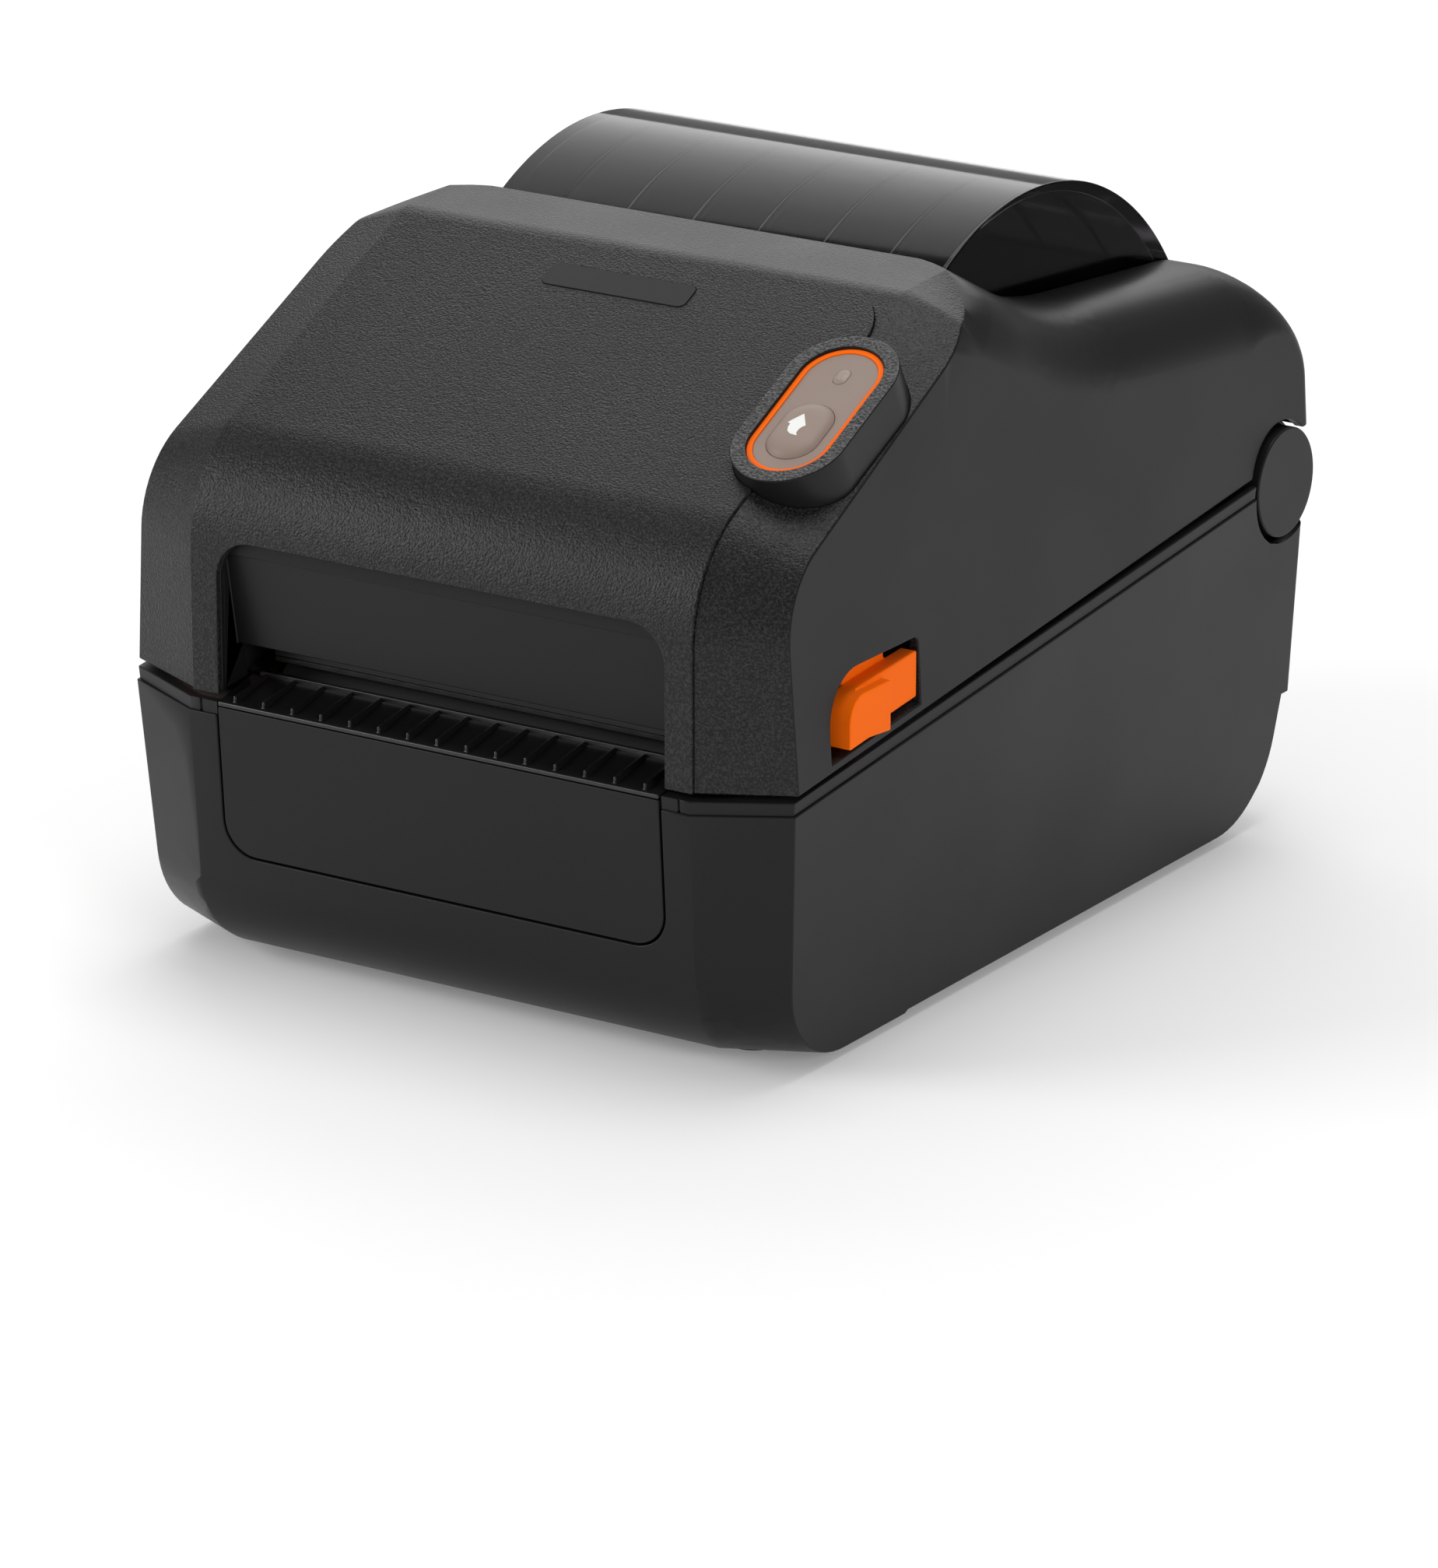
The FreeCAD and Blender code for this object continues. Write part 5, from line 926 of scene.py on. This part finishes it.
@dataclass
class Keypad:
    """Control pod with its ring, keypad, lens, feed button and the white feed arrow.

    Attributes:
        origin: Middle of the pod on the hood panel's face, in metres.
        tilt: Slope of the hood panel in degrees.
        gap_fill: How far the button's sides grow into the gap round it.
        arrow: Corners of the feed arrow, across and along the pod, in millimetres.
        arrow_height: Height of the arrow over the panel's face before it is laid on the button.
        arrow_film: Thickness of the printed arrow.
        button_drop: How far the button's rim is lowered before its dome rises.
        button_steps: Inset and rise of each ring of the button's dome.
        lens_drop: How far the lens's rim is lowered before its dome rises.
        lens_steps: Inset and rise of each ring of the lens's dome.
        top_lean: Faces that point up from the keypad more than this are the pod's top.
        wall_lean: Faces of the button that point up or down less than this are its sides.
        arrow_cuts: Cuts of each edge of the arrow before it is laid on the button.
    """

    origin: Triple = (0.0693, -0.0703, 0.13946)
    tilt: float = 26.058
    gap_fill: float = 0.00022
    arrow: Pairs = (
        (-0.75, -2.9), (-3.2, -6.2), (-2.3, -6.5), (-2.25, -7.6), (-1.75, -8.75), (-0.7, -9.5), (1.2, -9.7),
        (0.65, -8.9), (0.6, -7.9), (0.95, -6.9), (1.55, -6.3))
    arrow_height: float = 0.005
    arrow_film: float = 0.00004
    button_drop: float = 0.00095
    button_steps: Pairs = (
        (0.0003, 0.00036), (0.0005, 0.00044), (0.0008, 0.00038), (0.0009, 0.00024), (0.001, 0.00012),
        (0.001, 0.00004))
    lens_drop: float = 0.00045
    lens_steps: Pairs = (
        (0.0003, 0.00016), (0.0004, 0.00016), (0.0003, 0.00008), (0.0002, 0.00003))
    top_lean: float = 0.8
    wall_lean: float = 0.5
    arrow_cuts: int = 4

    def up(self) -> Vector:
        """Direction that the keypad faces."""
        angle = math.radians(self.tilt)
        return Vector((0.0, -math.sin(angle), math.cos(angle)))

    def place(self) -> Matrix:
        """Place and tilt of the pod."""
        return Matrix.Translation(self.origin) @ Matrix.Rotation(math.radians(self.tilt), 4, "X")

    def is_on_top(self, face: Face) -> bool:
        """Whether a face of the pod is its grained top, which is painted lighter as a highlight."""
        return face.normal.dot(self.up()) > self.top_lean

    def build_button(self) -> Piece:
        """Make the pebble-like feed button.

        Returns:
            The new piece.
        """
        piece = Bench.copy_node("feed_button", "feed_button_pebble")
        PAINT.dress(piece, Finish.KEYPAD)
        up = self.up()
        Bench.select_faces(piece, lambda face: abs(face.normal.dot(up)) < self.wall_lean)
        bpy.ops.transform.shrink_fatten(value=self.gap_fill, use_even_offset=True)
        bpy.ops.object.mode_set(mode="OBJECT")
        Bench.crown(piece, up, self.button_drop, self.button_steps)
        Bench.smooth(piece)
        return attach(piece, "feed_button", "button", "keypad_grey")

    def build_lens(self) -> Piece:
        """Make the small domed lamp lens.

        Returns:
            The new piece.
        """
        piece = Bench.copy_node("status_lens", "status_lens_dome")
        PAINT.dress(piece, Finish.LENS)
        Bench.crown(piece, self.up(), self.lens_drop, self.lens_steps)
        Bench.smooth(piece)
        return attach(piece, "status_lens", "cover", "lamp_lens")

    def build_arrow(self, button: Piece) -> Piece:
        """Lay the white feed arrow on the button.

        Args:
            button: The finished button.

        Returns:
            The new piece.
        """
        bpy.ops.object.select_all(action="DESELECT")
        bpy.ops.mesh.primitive_circle_add(vertices=len(self.arrow), fill_type="NGON")
        piece = bpy.context.active_object
        piece.name = "feed_arrow"
        for vertex, (across, along) in zip(piece.data.vertices, self.arrow):
            vertex.co = (across * MM, along * MM, self.arrow_height)
        piece.matrix_world = self.place()
        Bench.settle(piece)
        bpy.ops.object.mode_set(mode="EDIT")
        bpy.ops.mesh.select_all(action="SELECT")
        bpy.ops.mesh.quads_convert_to_tris()
        bpy.ops.mesh.subdivide(number_cuts=self.arrow_cuts)
        bpy.ops.object.mode_set(mode="OBJECT")
        lay = piece.modifiers.new("lay", "SHRINKWRAP")
        lay.target = button
        lay.wrap_method = "NEAREST_SURFACEPOINT"
        lay.offset = self.arrow_film
        bpy.ops.object.modifier_apply(modifier=lay.name)
        film = piece.modifiers.new("film", "SOLIDIFY")
        film.thickness = self.arrow_film
        film.offset = 0.0
        bpy.ops.object.modifier_apply(modifier=film.name)
        bpy.ops.object.mode_set(mode="EDIT")
        Bench.face_outward()
        PAINT.dress(piece, Finish.MARK)
        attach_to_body(piece, "button")
        return piece

    def build(self) -> list[Piece]:
        """Make the pieces.

        Returns:
            The new pieces.
        """
        button = self.build_button()
        return [
            # The pod's top takes the rim finish, painted lighter as a highlight.
            SoftCopy("control_pod", "cover", "grained_black", Finish.CASE, 0.00035, everywhere,
                     Finish.RIM, self.is_on_top).build(),
            SoftCopy("keypad_ring", "cover", "signal_orange", Finish.ORANGE, 0.00015).build(),
            SoftCopy("keypad", "cover", "keypad_grey", Finish.KEYPAD, 0.00012).build(),
            button,
            self.build_arrow(button),
            self.build_lens(),
        ]


@dataclass
class HeadSprings:
    """Coil springs that press the print head down.

    Attributes:
        across: Distance of each spring from the middle.
        along: Place along Y.
        foot: Height of the lowest turn's underside.
        top: Height of the highest turn's upper side.
        radius: Radius of the coil's middle line.
        wire: Thickness of the wire.
        turns: Number of turns.
        wire_sides: Sides of the wire's section.
        turn_steps: Steps of each turn.
        keep: Share of its length left at the joint's limit; not used.
    """

    across: float = 0.035
    along: float = -0.09
    foot: float = 0.08
    top: float = 0.106
    radius: float = 0.0036
    wire: float = 0.0008
    turns: int = 7
    wire_sides: int = 10
    turn_steps: int = 20
    keep: float = 0.973

    def build_coil(self, across: float) -> Piece:
        """Wind one coil.

        Args:
            across: Its place along X.

        Returns:
            The coil.
        """
        bpy.ops.object.select_all(action="DESELECT")
        bpy.ops.mesh.primitive_circle_add(
            vertices=self.wire_sides, radius=self.wire / 2, rotation=(math.pi / 2, 0.0, 0.0),
            location=(self.radius, 0.0, 0.0))
        coil = bpy.context.active_object
        Bench.settle(coil)
        wind = coil.modifiers.new("wind", "SCREW")
        wind.steps = self.turn_steps
        wind.render_steps = self.turn_steps
        wind.iterations = self.turns
        wind.screw_offset = (self.top - self.foot - self.wire) / self.turns
        bpy.ops.object.modifier_apply(modifier=wind.name)
        bpy.ops.object.mode_set(mode="EDIT")
        bpy.ops.mesh.select_all(action="SELECT")
        bpy.ops.mesh.fill_holes(sides=0)
        Bench.face_outward()
        coil.location = (across, self.along, self.foot + self.wire / 2)
        Bench.settle(coil)
        return coil

    def build(self) -> list[Piece]:
        """Make both springs as one piece.

        Returns:
            The new pieces.
        """
        coils = [self.build_coil(across) for across in (-self.across, self.across)]
        Bench.pick(coils[0])
        coils[1].select_set(True)
        bpy.ops.object.join()
        piece = coils[0]
        piece.name = "head_springs_wound"
        bpy.ops.object.shade_smooth_by_angle(angle=Bench.SMOOTH)
        PAINT.dress(piece, Finish.STEEL)
        attach(piece, "head_springs", "cover", "bright_steel")
        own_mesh(piece)
        return [piece]


@dataclass
class InnerWorks(Assembly):
    """Inside pieces and sockets: softened copies, and finishes of the CAD nodes that stay as they are.

    Attributes:
        finishes: The CAD nodes shown as they are, by finish.
    """

    finishes: dict[Finish, tuple[str, ...]] = field(default_factory=lambda: {
        Finish.STEEL: ("case_screws", "hinge_pins", "latch_shaft", "head_pivot", "platen_shaft"),
        Finish.BOARD: ("button_board", "main_board", "input_board"),
        Finish.DARK: ("head_carrier",),
        Finish.BRASS: ("platen_bushes",),
        Finish.GEAR: ("platen_gear", "idler_gear", "motor_pinion", "guide_pinion"),
        Finish.SOCKET: ("gap_sensor",),
    })

    def build(self) -> list[Piece]:
        """Put each finish on its node and make the softened copies.

        Returns:
            The new pieces.
        """
        for finish, nodes in self.finishes.items():
            for node in nodes:
                PAINT.dress_node(node, finish)
        return super().build()

    def copies(self) -> list[SoftCopy]:
        """Inside pieces as softened copies."""
        return [
            SoftCopy("media_guide_right", "guide_right", "frame_black", Finish.FRAME),
            SoftCopy("media_guide_left", "guide_left", "frame_black", Finish.FRAME),
            SoftCopy("head_mount", "cover", "sheet_steel", Finish.DARK, 0.00015),
            # The heat sink and the print head are painted nearly black: painted shade under the visor.
            SoftCopy("heat_sink", "head", "sink_aluminium", Finish.SHADED_SINK, 0.0002),
            SoftCopy("print_head", "head", "head_ceramic", Finish.SHADED_HEAD, 0.0001),
            SoftCopy("drive_motor", "base", "motor_black", Finish.MOTOR),
            SoftCopy("motor_bracket", "base", "sheet_steel", Finish.SHEET, 0.00015),
            SoftCopy("platen_rubber", "platen", "roller_rubber", Finish.ROLLER),
            SoftCopy("power_rocker", "rocker", "rocker_black", Finish.ROCKER),
            SoftCopy("switch_frame", "base", "socket_black", Finish.SOCKET, 0.0002),
            SoftCopy("power_jack", "base", "socket_black", Finish.SOCKET, 0.0002),
            SoftCopy("usb_socket", "base", "sheet_steel", Finish.SHEET, 0.0001),
        ]


@dataclass(frozen=True)
class Lamp:
    """A square soft lamp.

    Attributes:
        name: Name of the lamp.
        spot: Its place, in metres.
        size: Its side, in metres.
        power: Its power, in watts.
        mirrored: Whether glossy faces show it.
    """

    name: str
    spot: Triple
    size: float
    power: float
    mirrored: bool = True


@dataclass
class Studio:
    """Floor, lamps, world and the camera at the photograph's angle.

    Attributes:
        azimuth: Camera angle to the right of the printer's front, in degrees.
        elevation: Camera angle above the floor, in degrees.
        distance: From the camera to the frame's middle, in metres.
        aim: Shift of the view along the picture's right and up, in metres.
        lift: Shift of the frame's middle from the origin, in metres.
        lens: Focal length, in millimetres.
        floor_size: Side of the floor, in metres.
        floor_lift: How much the floor is lifted towards white where it is seen.
        floor_tone: Grey of the floor.
        floor_roughness: Roughness of the floor.
        sensor: Long side of the camera's picture, in millimetres.
        clip: Nearest and farthest that the camera sees, in metres.
        middle: Where the lamps point.
        room_light: Strength of the light from all sides.
        lamps: The soft lamps.
    """

    azimuth: float = 33.0456
    elevation: float = 18.9159
    distance: float = 1.97099
    aim: tuple[float, float] = (-0.0028374, -0.0198082)
    lift: Triple = (0.0, -0.008, 0.005)
    lens: float = 197.04
    floor_size: float = 14.0
    floor_lift: float = 0.15
    floor_tone: float = 0.85
    floor_roughness: float = 0.9
    sensor: float = 36.0
    clip: tuple[float, float] = (0.05, 50.0)
    middle: Triple = (0.0, 0.0, 0.08)
    room_light: float = 0.28
    lamps: list[Lamp] = field(default_factory=lambda: [
        Lamp("back_softbox", (-0.85, 1.4, 1.3), 1.85, 19.0),
        Lamp("front_left", (-1.6, -1.4, 0.9), 1.2, 24.0),
        Lamp("overhead", (-0.1, -0.1, 1.9), 1.4, 4.0, mirrored=False),
        Lamp("band_light", (0.1, 0.25, 1.9), 0.8, 10.0),
        Lamp("right_fill", (1.55, -0.75, 0.5), 0.9, 12.0, mirrored=False),
    ])

    def axes(self) -> tuple[Vector, Vector, Vector]:
        """Right, up and back directions of the camera."""
        turn, rise = math.radians(self.azimuth), math.radians(self.elevation)
        back = Vector((math.sin(turn) * math.cos(rise), -math.cos(turn) * math.cos(rise), math.sin(rise)))
        right = Vector((math.cos(turn), math.sin(turn), 0.0))
        return right, back.cross(right), back

    def build_camera(self) -> None:
        """Place the camera."""
        right, up, back = self.axes()
        camera = bpy.data.cameras.new("photo_camera")
        camera.lens = self.lens
        camera.sensor_width = self.sensor
        camera.clip_start, camera.clip_end = self.clip
        spot = back * self.distance - right * self.aim[0] - up * self.aim[1] + Vector(self.lift)
        piece = bpy.data.objects.new("photo_camera", camera)
        piece.matrix_world = Matrix.Translation(spot) @ Matrix((right, up, back)).transposed().to_4x4()
        bpy.context.scene.collection.objects.link(piece)
        bpy.context.scene.camera = piece

    def build_floor(self) -> None:
        """Lay a plain pale floor that shows white to the camera and keeps the shadow."""
        bpy.ops.object.select_all(action="DESELECT")
        bpy.ops.mesh.primitive_plane_add(size=self.floor_size)
        floor = bpy.context.active_object
        floor.name = "studio_floor"
        coat = Coat("studio_floor")
        coat.shader.inputs["Base Color"].default_value = (*[self.floor_tone] * 3, 1.0)
        coat.shader.inputs["Roughness"].default_value = self.floor_roughness
        coat.shader.inputs["Specular IOR Level"].default_value = 0.0
        coat.shader.inputs["Emission Color"].default_value = (1.0, 1.0, 1.0, 1.0)
        path = add_node(coat.tree, "ShaderNodeLightPath")
        seen = path.outputs["Is Camera Ray"]
        for ray in ("Is Glossy Ray", "Is Transmission Ray"):
            either = add_node(coat.tree, "ShaderNodeMath", operation="MAXIMUM")
            coat.tree.links.new(seen, either.inputs[0])
            coat.tree.links.new(path.outputs[ray], either.inputs[1])
            seen = either.outputs["Value"]
        lift = add_node(coat.tree, "ShaderNodeMath", operation="MULTIPLY")
        lift.inputs[1].default_value = self.floor_lift
        coat.tree.links.new(seen, lift.inputs[0])
        coat.tree.links.new(lift.outputs["Value"], coat.shader.inputs["Emission Strength"])
        floor.data.materials.append(coat.material)

    def build_lamps(self) -> None:
        """Hang soft area lamps that point at the printer's middle."""
        for lamp in self.lamps:
            light = bpy.data.lights.new(lamp.name, "AREA")
            light.shape = "SQUARE"
            light.size = lamp.size
            light.energy = lamp.power
            piece = bpy.data.objects.new(lamp.name, light)
            direction = (Vector(self.middle) - Vector(lamp.spot)).to_track_quat("-Z", "Y")
            piece.matrix_world = Matrix.Translation(lamp.spot) @ direction.to_matrix().to_4x4()
            piece.visible_glossy = lamp.mirrored
            bpy.context.scene.collection.objects.link(piece)

    def build_world(self) -> None:
        """Light the room softly from all sides."""
        world = bpy.data.worlds.new("studio_world")
        world.use_nodes = True
        room = world.node_tree.nodes["Background"]
        room.inputs["Color"].default_value = (1.0, 1.0, 1.0, 1.0)
        room.inputs["Strength"].default_value = self.room_light
        bpy.context.scene.world = world

    def build(self) -> None:
        """Set up the whole studio."""
        bpy.context.scene.view_settings.view_transform = "Standard"
        self.build_camera()
        self.build_floor()
        self.build_lamps()
        self.build_world()


def main() -> None:
    """Build the printer's looks around its frame."""
    logging.basicConfig(level=logging.INFO, format="%(name)s: %(message)s")
    kinds = (InnerWorks, CaseShells, CoverShells, LabelExit, LatchLevers, Keypad, HeadSprings)
    for assembly in [kind() for kind in kinds]:
        for piece in assembly.build():
            LOG.info("%s %s: %d faces", type(assembly).__name__, piece.name, len(piece.data.polygons))
    Studio().build()


if __name__ == "__main__":
    main()
